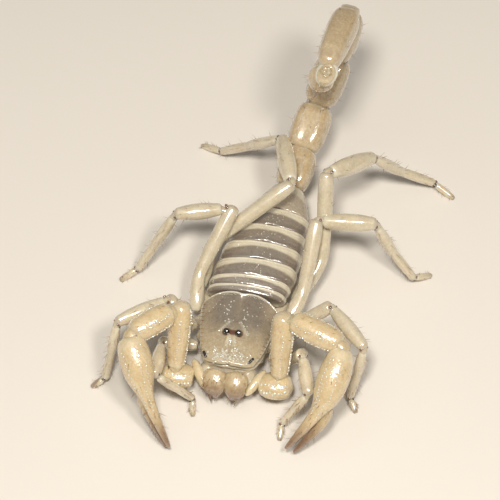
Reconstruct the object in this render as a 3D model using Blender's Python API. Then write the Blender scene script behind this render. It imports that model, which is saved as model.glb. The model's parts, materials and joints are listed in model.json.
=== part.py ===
"""A desert scorpion, life size, standing still with its tail arched and its pincers drawn in.

The animal faces -Y, its right side is at -X, and its feet stand on Z = 0. Lengths are written in
millimetres and turned into metres by MM when a mesh is made. Every limb is a chain of segments: each
segment has a length, a heading (degrees round Z, 0 along +X) and a pitch (degrees above level).
"""
import math

import bmesh
import bpy
from mathutils import Matrix, Vector

MM = 0.001
GAP = 0.12  # room left between neighbouring pieces
BELLY_HEIGHT = 1.1

# The head. Its own axes start at the middle of the shield's hind edge: x to the left, y back, z up.
CARAPACE_LENGTH = 8.2
CARAPACE_FRONT_WIDTH = 4.9
CARAPACE_REAR_WIDTH = 7.8
CARAPACE_REAR_HEIGHT = 4.9
CARAPACE_FRONT_HEIGHT = 4.2
CARAPACE_RIM_HEIGHT = 3.6
HIND_CUT = 1.3  # how far forward the rounded hind corners of the shield lie
FRONT_CUT = 0.55  # and how far back its front corners
PROSOMA_YAW = math.radians(7)  # the head is turned a little to the animal's left
PROSOMA_REAR = Vector((0.14, -0.65, 0.0))
EYE_RADIUS = 0.34
EYE_SPACING = 1.2
EYE_MIDDLE = -0.14
EYE_Y = -4.92
EYE_Z = 5.02
CHELICERA_X = 1.12
CHELICERA_HALF = 1.02

# Trunk: y of each plate's front edge on the midline, half width, top height, yaw in degrees.
TRUNK = (
    (-0.50, 3.92, 4.95, 7), (0.28, 4.05, 5.10, 8), (1.42, 4.15, 5.28, 9), (3.45, 4.15, 5.42, 9),
    (5.60, 4.05, 5.45, 7), (7.80, 3.85, 5.36, 6), (10.10, 3.40, 5.20, 4), (13.35, 1.75, 5.25, 0),
)
TRUNK_DRIFT = 0.22  # how far the midline lies to the animal's left
FLANK_HEIGHT = 3.3  # where the trunk is widest
HIGH_BELLY = 2.9  # the first two plates lie over the bases of the last legs

# Tail segments: length, heading, pitch, half width, half height. Then the sting, which hangs down.
TAIL_ROOT = Vector((0.48, 13.5, 4.25))
TAIL = (
    (4.3, 91, 18, 1.80, 1.62), (5.0, 86, 24, 1.88, 1.72), (5.5, 76, 49, 1.85, 1.80),
    (6.8, 20, 81, 1.70, 1.75), (8.4, -88, 15, 1.45, 1.50),
)
STING_OFFSET = Vector((-0.45, -0.80, -1.2))
STING = ((4.0, 112, -72), (1.2, 150, -75), (1.2, -140, -55))

# Bases of the limbs, in the head's axes: inner point, hip, half thickness.
HIPS = (
    ((0.9, -5.5, 1.95), (3.2, -5.6, 2.7), 0.80),
    ((0.9, -4.7, 1.95), (3.9, -3.9, 2.6), 0.84),
    ((0.9, -3.6, 1.90), (4.35, -2.1, 2.45), 0.84),
    ((0.9, -2.4, 1.90), (4.55, 1.3, 2.0), 0.80),
)
JAW_BASE = ((1.3, -6.2, 2.25), (2.66, -8.95, 1.98), 0.84)
STERNUM = ((0.0, -6.6, 1.85), (0.0, 1.75, 1.85), 1.75, 0.75)

# Half thickness of each part of a leg, for legs 1 to 4.
FEMUR_HALF = (0.66, 0.70, 0.76, 0.78)
PATELLA_HALF = (0.74, 0.82, 0.92, 0.98)
TIBIA_HALF = (0.50, 0.54, 0.60, 0.62)
TARSUS_HALF = (0.32, 0.33, 0.36, 0.37)

# Pose of each leg: trochanter, femur, patella, then tibia, basitarsus, tarsus.
LEG_POSE = {
    ("right", 1): (
        (2.2, -177, -3), (2.4, -127, 36), (4.8, -80, 16),
        (3.1, 20, -50), (2.5, 20, -50), (1.6, -71, -22),
    ),
    ("left", 1): (
        (2.4, 13, -10), (3.6, -29, 59), (4.2, -64, -10),
        (2.6, -144, -55), (2.1, -144, -56), (1.7, -81, -20),
    ),
    ("right", 2): (
        (1.5, 152, 28), (4.3, -150, 66), (5.6, -135, -1),
        (3.5, -100, -67), (3.3, -104, -66), (1.6, -139, -24),
    ),
    ("left", 2): (
        (1.9, 56, 29), (5.4, 23, 41), (5.8, -39, 1),
        (3.4, -116, -78), (3.3, -107, -68), (1.6, -51, -20),
    ),
    ("right", 3): (
        (4.15, 106, 24), (7.6, 75, 32), (5.7, -155, -1),
        (4.4, -141, -60), (3.9, -140, -59), (2.1, -137, -18),
    ),
    ("left", 3): (
        (4.3, 77, 23), (7.2, 95, 36), (5.8, 16, -2),
        (4.3, 6, -66), (4.1, -7, -52), (2.2, 45, -17),
    ),
    ("right", 4): (
        (4.9, 96, 31), (10.0, 45, 25), (6.8, 115, -9),
        (5.3, 167, -44), (4.6, 167, -43), (2.6, 166, -15),
    ),
    ("left", 4): (
        (5.5, 69, 24), (8.7, 105, 44), (6.7, 58, -22),
        (5.1, 42, -51), (4.6, 29, -38), (2.6, -16, -13),
    ),
}

# Pincer arms: the two ends of the trochanter, where the femur starts, and the pose of femur, patella,
# palm and fixed finger.
PALP_TROCHANTER = {
    "right": ((-2.0, -10.0, 2.2), (-4.85, -10.42, 2.2)),
    "left": ((4.42, -8.78, 2.2), (7.2, -8.22, 2.25)),
}
PALP_HIP = {"right": (-3.77, -9.94, 3.42), "left": (6.13, -7.84, 3.35)}
PALP_POSE = {
    "right": ((6.5, 97, 59), (6.0, -128, -3), (5.8, -55, -32), (6.0, -35, -50)),
    "left": ((6.4, 100, 61), (6.6, -12, -3), (6.0, -93, -31), (5.9, -131, -43)),
}
FINGER_SIDE = {"right": (-0.35, 0.12, -0.92), "left": (0.55, 0.1, -0.8)}  # from fixed to movable
FINGER_OPENING = {"right": (1.46, 0.92, 0.5), "left": (1.5, 1.2, 1.05)}  # at base, middle, tip
CHELA_HALF = 1.62
PALM_POWER = {"right": 1.2, "left": 1.0}  # above 1 the palm is shorter

# Profiles along a piece: fraction of its length, and its thickness there as a share of its size.
FEMUR_PROFILE = (
    (0.0, 0.62), (0.12, 0.86), (0.5, 0.97), (0.85, 1.03), (0.97, 0.88), (1.0, 0.58),
)
TROCHANTER_PROFILE = ((0.0, 0.58), (0.2, 0.86), (0.5, 1.0), (0.78, 0.96))
PATELLA_PROFILE = (
    (0.0, 0.5), (0.08, 0.74), (0.36, 1.0), (0.68, 0.97), (0.92, 0.74), (1.0, 0.46),
)
SHIN_PROFILE = (
    (0.0, 0.62), (0.1, 0.86), (0.3, 1.0), (0.47, 0.86), (0.54, 0.68),
    (0.6, 0.78), (0.78, 0.78), (0.95, 0.7), (1.0, 0.5),
)
TARSUS_PROFILE = ((0.0, 0.7), (0.15, 1.0), (0.6, 0.96), (0.9, 0.8), (1.0, 0.55))
COXA_PROFILE = ((0.0, 0.7), (0.2, 1.0), (0.7, 0.98), (0.93, 0.84), (1.0, 0.62))
LOBE_PROFILE = ((0.0, 0.5), (0.12, 0.8), (0.4, 1.0), (0.7, 1.0), (0.92, 0.78), (1.0, 0.5))
PALP_FEMUR_PROFILE = (
    (0.0, 0.6), (0.08, 0.82), (0.4, 0.96), (0.75, 1.04), (0.94, 0.94), (1.0, 0.6),
)
PALP_PATELLA_PROFILE = (
    (0.0, 0.62), (0.07, 0.9), (0.25, 1.06), (0.6, 1.09), (0.9, 0.97), (1.0, 0.64),
)
HAND_PROFILE = (
    (0.0, 0.5), (0.03, 0.72), (0.1, 0.94), (0.2, 1.0), (0.33, 0.95), (0.42, 0.77),
    (0.5, 0.54), (0.58, 0.37), (0.7, 0.30), (0.84, 0.22), (0.95, 0.14), (1.0, 0.08),
)
FINGER_PROFILE = (
    (0.0, 0.23), (0.06, 0.35), (0.25, 0.33), (0.55, 0.27), (0.8, 0.2), (0.95, 0.12), (1.0, 0.07),
)
TAIL_PROFILE = (
    (0.0, 0.66), (0.05, 0.82), (0.18, 0.95), (0.45, 1.0), (0.75, 1.0), (0.93, 0.9), (1.0, 0.7),
)
LAST_TAIL_PROFILE = (
    (0.0, 0.74), (0.05, 0.95), (0.2, 1.04), (0.5, 1.0), (0.8, 0.93), (0.95, 0.86), (1.0, 0.7),
)
STING_PROFILE = (
    (0.0, 0.4), (0.06, 0.68), (0.2, 0.95), (0.36, 1.0), (0.5, 0.84), (0.6, 0.53),
    (0.68, 0.3), (0.8, 0.18), (0.92, 0.11), (1.0, 0.05),
)
CHELICERA_PROFILE = (
    (0.0, 0.84), (0.1, 0.98), (0.35, 1.02), (0.62, 0.9), (0.78, 0.58), (0.92, 0.3), (1.0, 0.13),
)

# Outline of a tail segment: angle above its right side, and how far the ridge or furrow stands out.
TAIL_KEELS = (
    (-90, 0.97), (-66, 1.0), (-46, 1.06), (-24, 0.97), (2, 1.03),
    (28, 0.97), (52, 1.08), (70, 0.98), (90, 0.88),
)

LIMB_COLOUR = (0.60, 0.53, 0.36)
SHIELD_COLOUR = (0.26, 0.22, 0.17)
EYE_COLOUR = (0.01, 0.01, 0.01)


def clear_scene():
    for old in list(bpy.data.objects):
        bpy.data.objects.remove(old, do_unlink=True)


def shell_material(name, colour, roughness):
    material = bpy.data.materials.new(name)
    material.use_nodes = True
    shader = material.node_tree.nodes["Principled BSDF"]
    shader.inputs["Base Color"].default_value = (*colour, 1.0)
    shader.inputs["Roughness"].default_value = roughness
    shader.inputs["Metallic"].default_value = 0.0
    return material


def direction(heading, pitch):
    """The unit vector with this heading and pitch, in degrees."""
    level = math.cos(math.radians(pitch))
    heading = math.radians(heading)
    return Vector((math.cos(heading) * level, math.sin(heading) * level, math.sin(math.radians(pitch))))


def joints(root, pose):
    """The points where a chain of segments bends, from its root to its tip."""
    points = [Vector(root)]
    for length, heading, pitch in pose:
        points.append(points[-1] + length * direction(heading, pitch))
    return points


def head_point(x, y, z):
    """A point given in the head's own axes, placed in the animal."""
    return PROSOMA_REAR + Matrix.Rotation(PROSOMA_YAW, 3, "Z") @ Vector((x, y, 0)) + Vector((0, 0, z))


def rounded(points, reach, steps=4):
    """The path through the points with a short curve at each corner, starting reach before it."""
    path = [points[0]]
    for before, corner, after in zip(points, points[1:], points[2:]):
        start = corner + (before - corner).normalized() * min(reach, (before - corner).length / 2)
        end = corner + (after - corner).normalized() * min(reach, (after - corner).length / 2)
        for step in range(steps + 1):
            t = step / steps
            path.append((1 - t) ** 2 * start + 2 * t * (1 - t) * corner + t * t * end)
    path.append(points[-1])
    return path


def along(path, fraction):
    """The point at a fraction of the path's length, and the direction of travel there."""
    lengths = [(b - a).length for a, b in zip(path, path[1:])]
    wanted = fraction * sum(lengths)
    for a, b, length in zip(path, path[1:], lengths):
        if wanted <= length or b is path[-1]:
            return a + (b - a) * min(1.0, wanted / length), (b - a).normalized()
        wanted -= length


def oval(sides):
    """The outline of a round limb: how far each corner lies across and up."""
    turns = [2 * math.pi * (step + 0.5) / sides for step in range(sides)]
    return [(math.cos(turn), math.sin(turn)) for turn in turns]


def keeled_outline():
    """The outline of a tail segment: a rounded square with ridges, and a furrow along its back."""
    right = [(math.radians(angle), stand) for angle, stand in TAIL_KEELS]
    left = [(math.pi - angle, stand) for angle, stand in reversed(right[1:-1])]
    outline = []
    for angle, stand in right + left:
        across = math.cos(angle)
        up = math.sin(angle)
        square = stand * (abs(across) ** 2.6 + abs(up) ** 2.6) ** (-1 / 2.6)
        outline.append((across * square, up * square))
    return outline


def add_object(name, bm, material):
    mesh = bpy.data.meshes.new(name)
    bm.to_mesh(mesh)
    bm.free()
    mesh.shade_smooth()
    mesh.materials.append(material)
    made = bpy.data.objects.new(name, mesh)
    bpy.context.scene.collection.objects.link(made)
    return made


def lofted(name, rings, material):
    """A closed body through rings of corners in millimetres, with a flat face on each end."""
    bm = bmesh.new()
    loops = [[bm.verts.new(corner * MM) for corner in ring] for ring in rings]
    for first, second in zip(loops, loops[1:]):
        for step in range(len(first)):
            after = (step + 1) % len(first)
            bm.faces.new((first[step], first[after], second[after], second[step]))
    bm.faces.new(list(reversed(loops[0])))
    bm.faces.new(loops[-1])
    bmesh.ops.recalc_face_normals(bm, faces=bm.faces)
    return add_object(name, bm, material)


def limb_rings(path, profile, half_width, half_height, across, outline):
    """Rings of the outline along the path, as thick as the profile says."""
    rings = []
    for fraction, thick in profile:
        centre, forward = along(path, fraction)
        sideways = (across - across.dot(forward) * forward).normalized() * thick * half_width
        up = sideways.cross(forward).normalized() * thick * half_height
        rings.append([centre + sideways * x + up * z for x, z in outline])
    return rings


def limb(name, path, profile, half_width, half_height, across, outline, material):
    rings = limb_rings(path, profile, half_width, half_height, across, outline)
    return lofted(name, rings, material)


def clearance(before, after, last_half, own_half):
    """How far past a joint a piece starts so that it clears the piece before it, end or side."""
    bend = before.angle(after)
    past_side = (last_half + GAP - own_half * math.cos(bend)) / math.sin(bend)
    if bend > math.radians(80):
        return past_side
    return min(past_side, (GAP + own_half * math.sin(bend)) / math.cos(bend))


def hide_cutter(cutter):
    cutter.hide_render = True
    cutter.display_type = "WIRE"


def combine(body, operation, other):
    """Adds the other body to this one, or cuts it away. The other stays as a hidden helper."""
    hide_cutter(other)
    step = body.modifiers.new(other.name, "BOOLEAN")
    step.operation = operation
    step.solver = "EXACT"
    step.object = other


def leg_joints(side, number):
    mirror = 1 if side == "left" else -1
    x, y, z = HIPS[number - 1][1]
    return joints(head_point(mirror * x, y, z), LEG_POSE[side, number])


def base_direction(side, inner, outer):
    mirror = 1 if side == "left" else -1
    start = head_point(mirror * inner[0], inner[1], inner[2])
    end = head_point(mirror * outer[0], outer[1], outer[2])
    return start, end, (end - start).normalized()


def make_leg(side, number, material):
    """Femur with its trochanter, patella, tibia with its basitarsus, and tarsus of one leg."""
    name = f"leg_{number}_{side}"
    hip, thigh, knee, shin, ankle, heel, toe = leg_joints(side, number)
    femur = FEMUR_HALF[number - 1]
    patella = PATELLA_HALF[number - 1]
    tibia = TIBIA_HALF[number - 1]
    tarsus = TARSUS_HALF[number - 1]
    toe.z = tarsus * 0.3
    across = (knee - thigh).cross(heel - shin).normalized()
    outline = oval(8)

    inner, outer, thickness = HIPS[number - 1]
    base = base_direction(side, inner, outer)[2]
    start = hip + (thigh - hip).normalized() * clearance(base, thigh - hip, thickness * 0.8, femur * 0.7)
    share = (thigh - start).length / ((thigh - start).length + (knee - thigh).length)
    profile = [(share * 0.9 * fraction, thick) for fraction, thick in TROCHANTER_PROFILE]
    profile.append((share, 0.8))
    profile += [(share + (1 - share) * fraction, thick) for fraction, thick in FEMUR_PROFILE[1:]]
    path = rounded([start, thigh, knee], 0.9)
    limb(name + "_femur", path, profile, femur, femur, across, outline, material)

    start = knee + (shin - knee).normalized() * clearance(
        knee - thigh, shin - knee, femur * 0.9, patella * 0.55
    )
    path = [start, shin]
    limb(name + "_patella", path, PATELLA_PROFILE, patella * 0.92, patella, across, outline, material)

    start = shin + (ankle - shin).normalized() * clearance(
        shin - knee, ankle - shin, patella * 0.62, tibia * 0.65
    )
    path = rounded([start, ankle, heel], 0.5)
    limb(name + "_tibia", path, SHIN_PROFILE, tibia, tibia, across, outline, material)

    start = heel + (toe - heel).normalized() * clearance(
        heel - ankle, toe - heel, tibia * 0.55, tarsus * 0.7
    )
    rings = limb_rings([start, toe], TARSUS_PROFILE, tarsus, tarsus, across, outline)
    flat = [[Vector((corner.x, corner.y, max(corner.z, 0.0))) for corner in ring] for ring in rings]
    lofted(name + "_tarsus", flat, material)


def make_palp(side, material):
    """Trochanter, femur, patella, hand with the fixed finger, and movable finger of one pincer arm."""
    name = f"palp_{side}"
    hip, elbow, wrist, knuckle, tip = joints(PALP_HIP[side], PALP_POSE[side])
    outline = oval(10)

    lobe = [Vector(end) for end in PALP_TROCHANTER[side]]
    limb(name + "_trochanter", lobe, LOBE_PROFILE, 1.5, 1.15, Vector((0, 1, 0)), outline, material)

    thigh = (elbow - hip).normalized()
    path = [hip + thigh * 0.15, elbow - thigh * 0.1]
    limb(name + "_femur", path, PALP_FEMUR_PROFILE, 1.1, 1.1, Vector((1, 0, 0)), outline, material)

    start = elbow + (wrist - elbow).normalized() * clearance(thigh, wrist - elbow, 1.0, 0.75)
    across = (wrist - elbow).cross(Vector((0, 0, 1))).normalized()
    path = [start, wrist - (wrist - elbow).normalized() * 0.6]
    limb(name + "_patella", path, PALP_PATELLA_PROFILE, 1.22, 1.15, across, outline, material)

    start = wrist + (knuckle - wrist).normalized() * clearance(
        wrist - elbow, knuckle - wrist, 0.75, 1.0
    )
    path = rounded([start, knuckle, tip], 3.2, 8)
    spread = (knuckle - wrist).cross(tip - knuckle).normalized()
    profile = [(fraction ** PALM_POWER[side], thick) for fraction, thick in HAND_PROFILE]
    limb(name + "_hand", path, profile, CHELA_HALF, CHELA_HALF, spread, oval(12), material)
    away = Vector(FINGER_SIDE[side])
    make_movable_finger(name + "_finger", path, away, FINGER_OPENING[side], material)


def make_movable_finger(name, fixed, away, opening, material):
    """The finger that closes against the fixed one, which is the last part of the hand's path."""
    base, middle, tip = opening
    path = []
    for step in range(9):
        t = step / 8
        centre, forward = along(fixed, 0.5 + 0.5 * t)
        off = (away - away.dot(forward) * forward).normalized()
        stand = (1 - t) * (1 - 2 * t) * base + 4 * t * (1 - t) * middle - t * (1 - 2 * t) * tip
        path.append(centre + off * stand)
    across = away.cross(path[-1] - path[0]).normalized()
    limb(name, path, FINGER_PROFILE, CHELA_HALF, CHELA_HALF, across, oval(8), material)


def make_chelicera(side, material):
    """One of the two jaws under the front of the head shield, bent down to its small pincer."""
    x = CHELICERA_X if side == "left" else -CHELICERA_X
    points = [head_point(x, -8.5, 3.2), head_point(x, -9.65, 2.95), head_point(x * 0.85, -10.3, 1.4)]
    across = head_point(1, 0, 0) - head_point(0, 0, 0)
    path = rounded(points, 0.9)
    limb(f"chelicera_{side}", path, CHELICERA_PROFILE, CHELICERA_HALF, 0.92, across, oval(10), material)


def head_ring(y, half, top, hill, cut):
    """A cross-section of the head: the domed shield down to its rim, then the body under it."""
    rim = CARAPACE_RIM_HEIGHT
    corners = []
    for share in (-1, -0.84, -0.62, -0.4, -0.2, 0, 0.2, 0.4, 0.62, 0.84, 1):
        dome = (top - rim) * (1 - abs(share) ** 2.4) ** 0.62
        bump = hill * math.exp(-(((share * half - EYE_MIDDLE) / 0.62) ** 2))
        furrow = 0.09 * math.exp(-((share * half / 0.2) ** 2))
        corners.append((share, rim + dome + bump - furrow))
    lower = [(0.97, rim - 0.42), (0.8, rim - 0.75), (0.66, 1.8), (0.4, 1.4)]
    corners += lower + [(-share, height) for share, height in reversed(lower)]
    return [head_point(share * half, y - cut * abs(share) ** 3, height) for share, height in corners]


def make_shield(material):
    """The head shield, its corners rounded, with the hill for the middle eyes near its middle."""
    front = CARAPACE_FRONT_WIDTH / 2
    rear = CARAPACE_REAR_WIDTH / 2
    rings = []
    for share, hill, cut in (
        (0.0, 0, -FRONT_CUT), (0.05, 0, -0.8 * FRONT_CUT), (0.2, 0, 0), (0.32, 0.14, 0),
        (0.4, 0.26, 0), (0.5, 0.1, 0), (0.66, 0, 0.25 * HIND_CUT), (0.84, 0, 0.6 * HIND_CUT),
        (0.96, 0, 0.9 * HIND_CUT), (1.0, 0, HIND_CUT),
    ):
        half = front + (rear - front) * math.sin(share * math.pi / 2) ** 0.75
        top = CARAPACE_FRONT_HEIGHT + (CARAPACE_REAR_HEIGHT - CARAPACE_FRONT_HEIGHT) * share ** 0.6
        if share in (0.0, 1.0):
            half *= 0.95
            top -= 0.12
        rings.append(head_ring(-CARAPACE_LENGTH * (1 - share), half, top, hill, cut))
    return lofted("prosoma", rings, material)


def make_prosoma(material):
    """The head as one body: shield, breast plate, and the bases of the legs and pincer arms."""
    body = make_shield(material)
    start, end, half_width, half_height = STERNUM
    across = head_point(1, 0, 0) - head_point(0, 0, 0)
    path = [head_point(*start), head_point(*end)]
    plate = limb("sternum", path, COXA_PROFILE, half_width, half_height, across, oval(10), material)
    combine(body, "UNION", plate)
    for side in ("right", "left"):
        for number, (inner, outer, half) in enumerate((JAW_BASE,) + HIPS):
            start, end, forward = base_direction(side, inner, outer)
            path = [start, end - forward * GAP]
            across = forward.cross(Vector((0, 0, 1)))
            name = f"coxa_{number}_{side}"
            coxa = limb(name, path, COXA_PROFILE, half, half, across, oval(8), material)
            combine(body, "UNION", coxa)
    return body


def ball(name, centre, radius, material):
    bm = bmesh.new()
    bmesh.ops.create_uvsphere(bm, u_segments=12, v_segments=8, radius=radius * MM)
    made = add_object(name, bm, material)
    made.location = centre * MM
    return made


def make_eyes(head, material):
    """The two large middle eyes, each in its socket on the side of the eye hill."""
    for side, x in (("right", EYE_MIDDLE - EYE_SPACING / 2), ("left", EYE_MIDDLE + EYE_SPACING / 2)):
        centre = head_point(x, EYE_Y, EYE_Z)
        ball(f"eye_{side}", centre, EYE_RADIUS, material)
        combine(head, "DIFFERENCE", ball(f"eye_socket_{side}", centre, EYE_RADIUS + GAP / 2, material))


def trunk_ring(y, half, top, yaw, belly, swell):
    """A cross-section of the trunk: an arched back plate, soft flanks and a flat belly."""
    corners = []
    for step in range(11):
        angle = math.pi * step / 10
        arch = (top - FLANK_HEIGHT) * math.sin(angle) ** 0.8
        corners.append((-math.cos(angle) * half, FLANK_HEIGHT + arch))
    lower = [(0.97, 0.73), (0.86, 0.36), (0.6, 0.05), (0.2, 0.0)]
    lower += [(-share, height) for share, height in reversed(lower)]
    corners += [(share * half, belly + height * (FLANK_HEIGHT - belly)) for share, height in lower]
    turn = Matrix.Rotation(math.radians(yaw), 3, "Z")
    middle = Vector((TRUNK_DRIFT + max(0.0, y - 10.0) * 0.06, y, FLANK_HEIGHT))
    return [middle + turn @ Vector((x, 0, z - FLANK_HEIGHT)) * swell for x, z in corners]


def make_trunk(material):
    """The seven rings of the trunk, each a little fuller at its hind edge."""
    for number, (front, rear) in enumerate(zip(TRUNK, TRUNK[1:]), 1):
        rings = []
        for share, swell in ((0.0, 0.93), (0.15, 0.965), (0.55, 0.985), (0.9, 1.0), (1.0, 0.97)):
            y, half, top, yaw = (a + (b - a) * share for a, b in zip(front, rear))
            y += GAP * (0.5 - share)
            belly = HIGH_BELLY if number < 3 else BELLY_HEIGHT
            if number == 7:
                belly += 1.55 * share
            rings.append(trunk_ring(y, half, top, yaw, belly, swell))
        lofted(f"mesosoma_{number}", rings, material)


def make_tail(material):
    """Five ridged segments that arch up and forward over the back, then the sting."""
    points = joints(TAIL_ROOT, [row[:3] for row in TAIL])
    outline = keeled_outline()
    right = Vector((1, 0, 0))
    steps = [b - a for a, b in zip(points, points[1:])]
    corners = [math.radians(8)] + [a.angle(b) for a, b in zip(steps, steps[1:])] + [0.0]
    for index, step in enumerate(steps):
        half_width, half_height = TAIL[index][3:]
        rooms = [GAP / 2 + 1.3 * math.tan(corner / 2) for corner in corners[index:index + 2]]
        forward = step.normalized()
        path = [points[index] + forward * rooms[0], points[index + 1] - forward * rooms[1]]
        profile = LAST_TAIL_PROFILE if index == 4 else TAIL_PROFILE
        limb(f"tail_{index + 1}", path, profile, half_width, half_height, right, outline, material)
    path = rounded(joints(points[-1] + STING_OFFSET, STING), 1.3)
    limb("telson", path, STING_PROFILE, 1.4, 1.25, right, oval(12), material)


def centre_on_origin():
    """Moves the whole animal so that the origin lies under the middle of its box."""
    bpy.context.view_layer.update()
    shown = [made for made in bpy.data.objects if not made.hide_render]
    corners = [made.matrix_world @ vertex.co for made in shown for vertex in made.data.vertices]
    for axis in (0, 1):
        low = min(corner[axis] for corner in corners)
        high = max(corner[axis] for corner in corners)
        for made in bpy.data.objects:
            made.location[axis] -= (low + high) / 2


def build():
    clear_scene()
    pale = shell_material("limb_shell", LIMB_COLOUR, 0.35)
    grey = shell_material("shield_shell", SHIELD_COLOUR, 0.35)
    head = make_prosoma(grey)
    make_eyes(head, shell_material("eye", EYE_COLOUR, 0.1))
    make_trunk(grey)
    make_tail(pale)
    for side in ("right", "left"):
        make_chelicera(side, pale)
        make_palp(side, pale)
        for number in (1, 2, 3, 4):
            make_leg(side, number, pale)
    centre_on_origin()


build()
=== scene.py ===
# %% [markdown]
# # A desert scorpion, life size
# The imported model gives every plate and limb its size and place. Here each piece gets the surface of
# the living animal: waxy see-through shell, beaded ridges, banded back plates, wet black eyes, soft
# folded skin in the joints, claws and hairs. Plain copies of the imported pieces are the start, because
# their outlines are right; what they lack is roundness and detail.

import json
import math

import bmesh
import bpy
import numpy as np
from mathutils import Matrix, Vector
from mathutils.bvhtree import BVHTree

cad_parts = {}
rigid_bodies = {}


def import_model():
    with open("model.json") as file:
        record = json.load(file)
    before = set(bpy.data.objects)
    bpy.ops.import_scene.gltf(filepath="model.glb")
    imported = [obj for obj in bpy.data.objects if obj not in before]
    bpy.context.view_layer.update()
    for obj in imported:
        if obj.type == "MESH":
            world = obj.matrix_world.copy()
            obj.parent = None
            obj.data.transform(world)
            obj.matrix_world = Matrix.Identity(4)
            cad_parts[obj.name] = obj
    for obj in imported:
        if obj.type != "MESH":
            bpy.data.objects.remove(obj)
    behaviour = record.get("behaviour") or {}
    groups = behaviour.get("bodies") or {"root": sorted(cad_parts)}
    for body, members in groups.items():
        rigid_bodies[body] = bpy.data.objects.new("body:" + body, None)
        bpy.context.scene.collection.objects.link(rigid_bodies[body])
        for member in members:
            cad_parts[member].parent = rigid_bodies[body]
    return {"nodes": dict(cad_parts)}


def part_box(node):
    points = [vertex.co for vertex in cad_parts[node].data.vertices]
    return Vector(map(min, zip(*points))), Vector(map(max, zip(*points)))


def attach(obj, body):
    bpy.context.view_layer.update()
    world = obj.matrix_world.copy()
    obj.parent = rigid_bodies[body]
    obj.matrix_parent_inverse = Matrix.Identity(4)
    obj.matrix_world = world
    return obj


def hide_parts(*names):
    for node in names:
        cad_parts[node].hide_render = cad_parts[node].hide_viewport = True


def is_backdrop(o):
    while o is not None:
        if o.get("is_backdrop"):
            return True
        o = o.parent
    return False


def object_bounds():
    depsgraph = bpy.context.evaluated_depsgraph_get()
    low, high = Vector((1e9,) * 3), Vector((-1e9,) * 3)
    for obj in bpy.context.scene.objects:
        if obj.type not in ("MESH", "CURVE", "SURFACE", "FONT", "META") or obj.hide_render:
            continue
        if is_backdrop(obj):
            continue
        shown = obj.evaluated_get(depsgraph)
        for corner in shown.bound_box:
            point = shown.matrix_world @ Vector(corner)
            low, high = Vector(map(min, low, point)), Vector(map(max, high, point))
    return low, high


for startup in list(bpy.data.objects):
    bpy.data.objects.remove(startup, do_unlink=True)
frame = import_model()
CAD_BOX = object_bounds()
MM = 0.001
RANDOM = np.random.default_rng(7)
SIDES = ("right", "left")
print("pieces in the packed model:", len(frame["nodes"]))
print("box in mm:", [[round(v / MM, 2) for v in corner] for corner in CAD_BOX])

# %% [markdown]
# ## The head's own axes
# The head is turned a little against the world, so everything on it is easier to say in its own axes.
# They are read from the two middle eyes: x runs to the animal's left, y to the back, with its zero on
# the shield's hind edge, and z is the height over the floor. A place and a direction each get a helper,
# because a direction turns with the head but doesn't move with it.

# %% Head axes
EYE_PLACE = (-0.14, -4.92, 5.02)  # middle between the eyes, in the head's axes, mm
right_eye, left_eye = (sum(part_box(f"eye_{side}"), Vector()) / 2 for side in SIDES)
EYES = (right_eye + left_eye) / 2
HEAD_TURN = math.atan2(left_eye.y - right_eye.y, left_eye.x - right_eye.x)


def head_axes(x, y, z):
    """Places given in the head's own axes, in millimetres, put into the world."""
    x, y = x - EYE_PLACE[0], y - EYE_PLACE[1]
    cos, sin = math.cos(HEAD_TURN), math.sin(HEAD_TURN)
    return np.stack((EYES.x / MM + x * cos - y * sin, EYES.y / MM + x * sin + y * cos, z + 0 * x), axis=-1)


def head_way(x, y, z):
    """A direction given in the head's own axes, turned into the world's."""
    return head_axes(x, y, z) - head_axes(0.0, 0.0, 0.0)


print("the head is turned by", round(math.degrees(HEAD_TURN), 2), "degrees")

# %% [markdown]
# ## The camera
# The animal is seen from above and a little from its left. The camera aims at a point measured from the
# eyes, and a long lens from far away keeps the limbs from swelling near the edge. It stands where a
# compass turn and a rise say, and the lamps and the glints on the eyes are placed by the same two
# angles later.

# %% Camera
AIM_FROM_EYES = Vector((-1.651, 10.630, -1.02)) * MM
CAMERA_TURN = 18
CAMERA_RISE = 54
CAMERA_DISTANCE = 0.3
LENS_MM = 216.6
SENSOR_MM = 36


def way_out(turn, rise):
    """The way from the animal to something this many degrees to the left of its front and up."""
    turn, rise = math.radians(turn), math.radians(rise)
    return Vector((math.sin(turn) * math.cos(rise), -math.cos(turn) * math.cos(rise), math.sin(rise)))


aim = EYES + AIM_FROM_EYES
back = way_out(CAMERA_TURN, CAMERA_RISE)
camera = bpy.data.objects.new("camera", bpy.data.cameras.new("camera"))
bpy.context.scene.collection.objects.link(camera)
camera.location = aim + back * CAMERA_DISTANCE
camera.rotation_euler = back.to_track_quat("Z", "Y").to_euler()
camera.data.sensor_width = SENSOR_MM
camera.data.lens = LENS_MM
camera.data.clip_start = 0.01
bpy.context.scene.camera = camera
print("the camera aims in mm at", [round(v / MM, 3) for v in aim])

# %% [markdown]
# ## Small helpers for pieces
# Three habits keep the work safe: only one piece is selected at a time, lengths are written in millimetres,
# and each finished piece gets its material and its body in one call. That call also holds every corner
# inside the imported box, so that no bead or claw makes the animal larger than its solids.

# %% Helpers for pieces
def pick(piece):
    """Selects this piece alone and makes it the active one."""
    if bpy.context.mode != "OBJECT":
        bpy.ops.object.mode_set(mode="OBJECT")
    bpy.ops.object.select_all(action="DESELECT")
    piece.select_set(True)
    bpy.context.view_layer.objects.active = piece


def settle(piece):
    """Puts the piece's place into its mesh, so that its object sits at the origin."""
    pick(piece)
    bpy.ops.object.transform_apply(location=True, rotation=True, scale=True)
    return piece


def apply_modifier(piece, kind, **settings):
    """Adds a modifier and applies it at once. The piece stays the selected one."""
    pick(piece)
    modifier = piece.modifiers.new(kind.lower(), kind)
    for key, value in settings.items():
        setattr(modifier, key, value)
    bpy.ops.object.modifier_apply(modifier=modifier.name)


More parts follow.
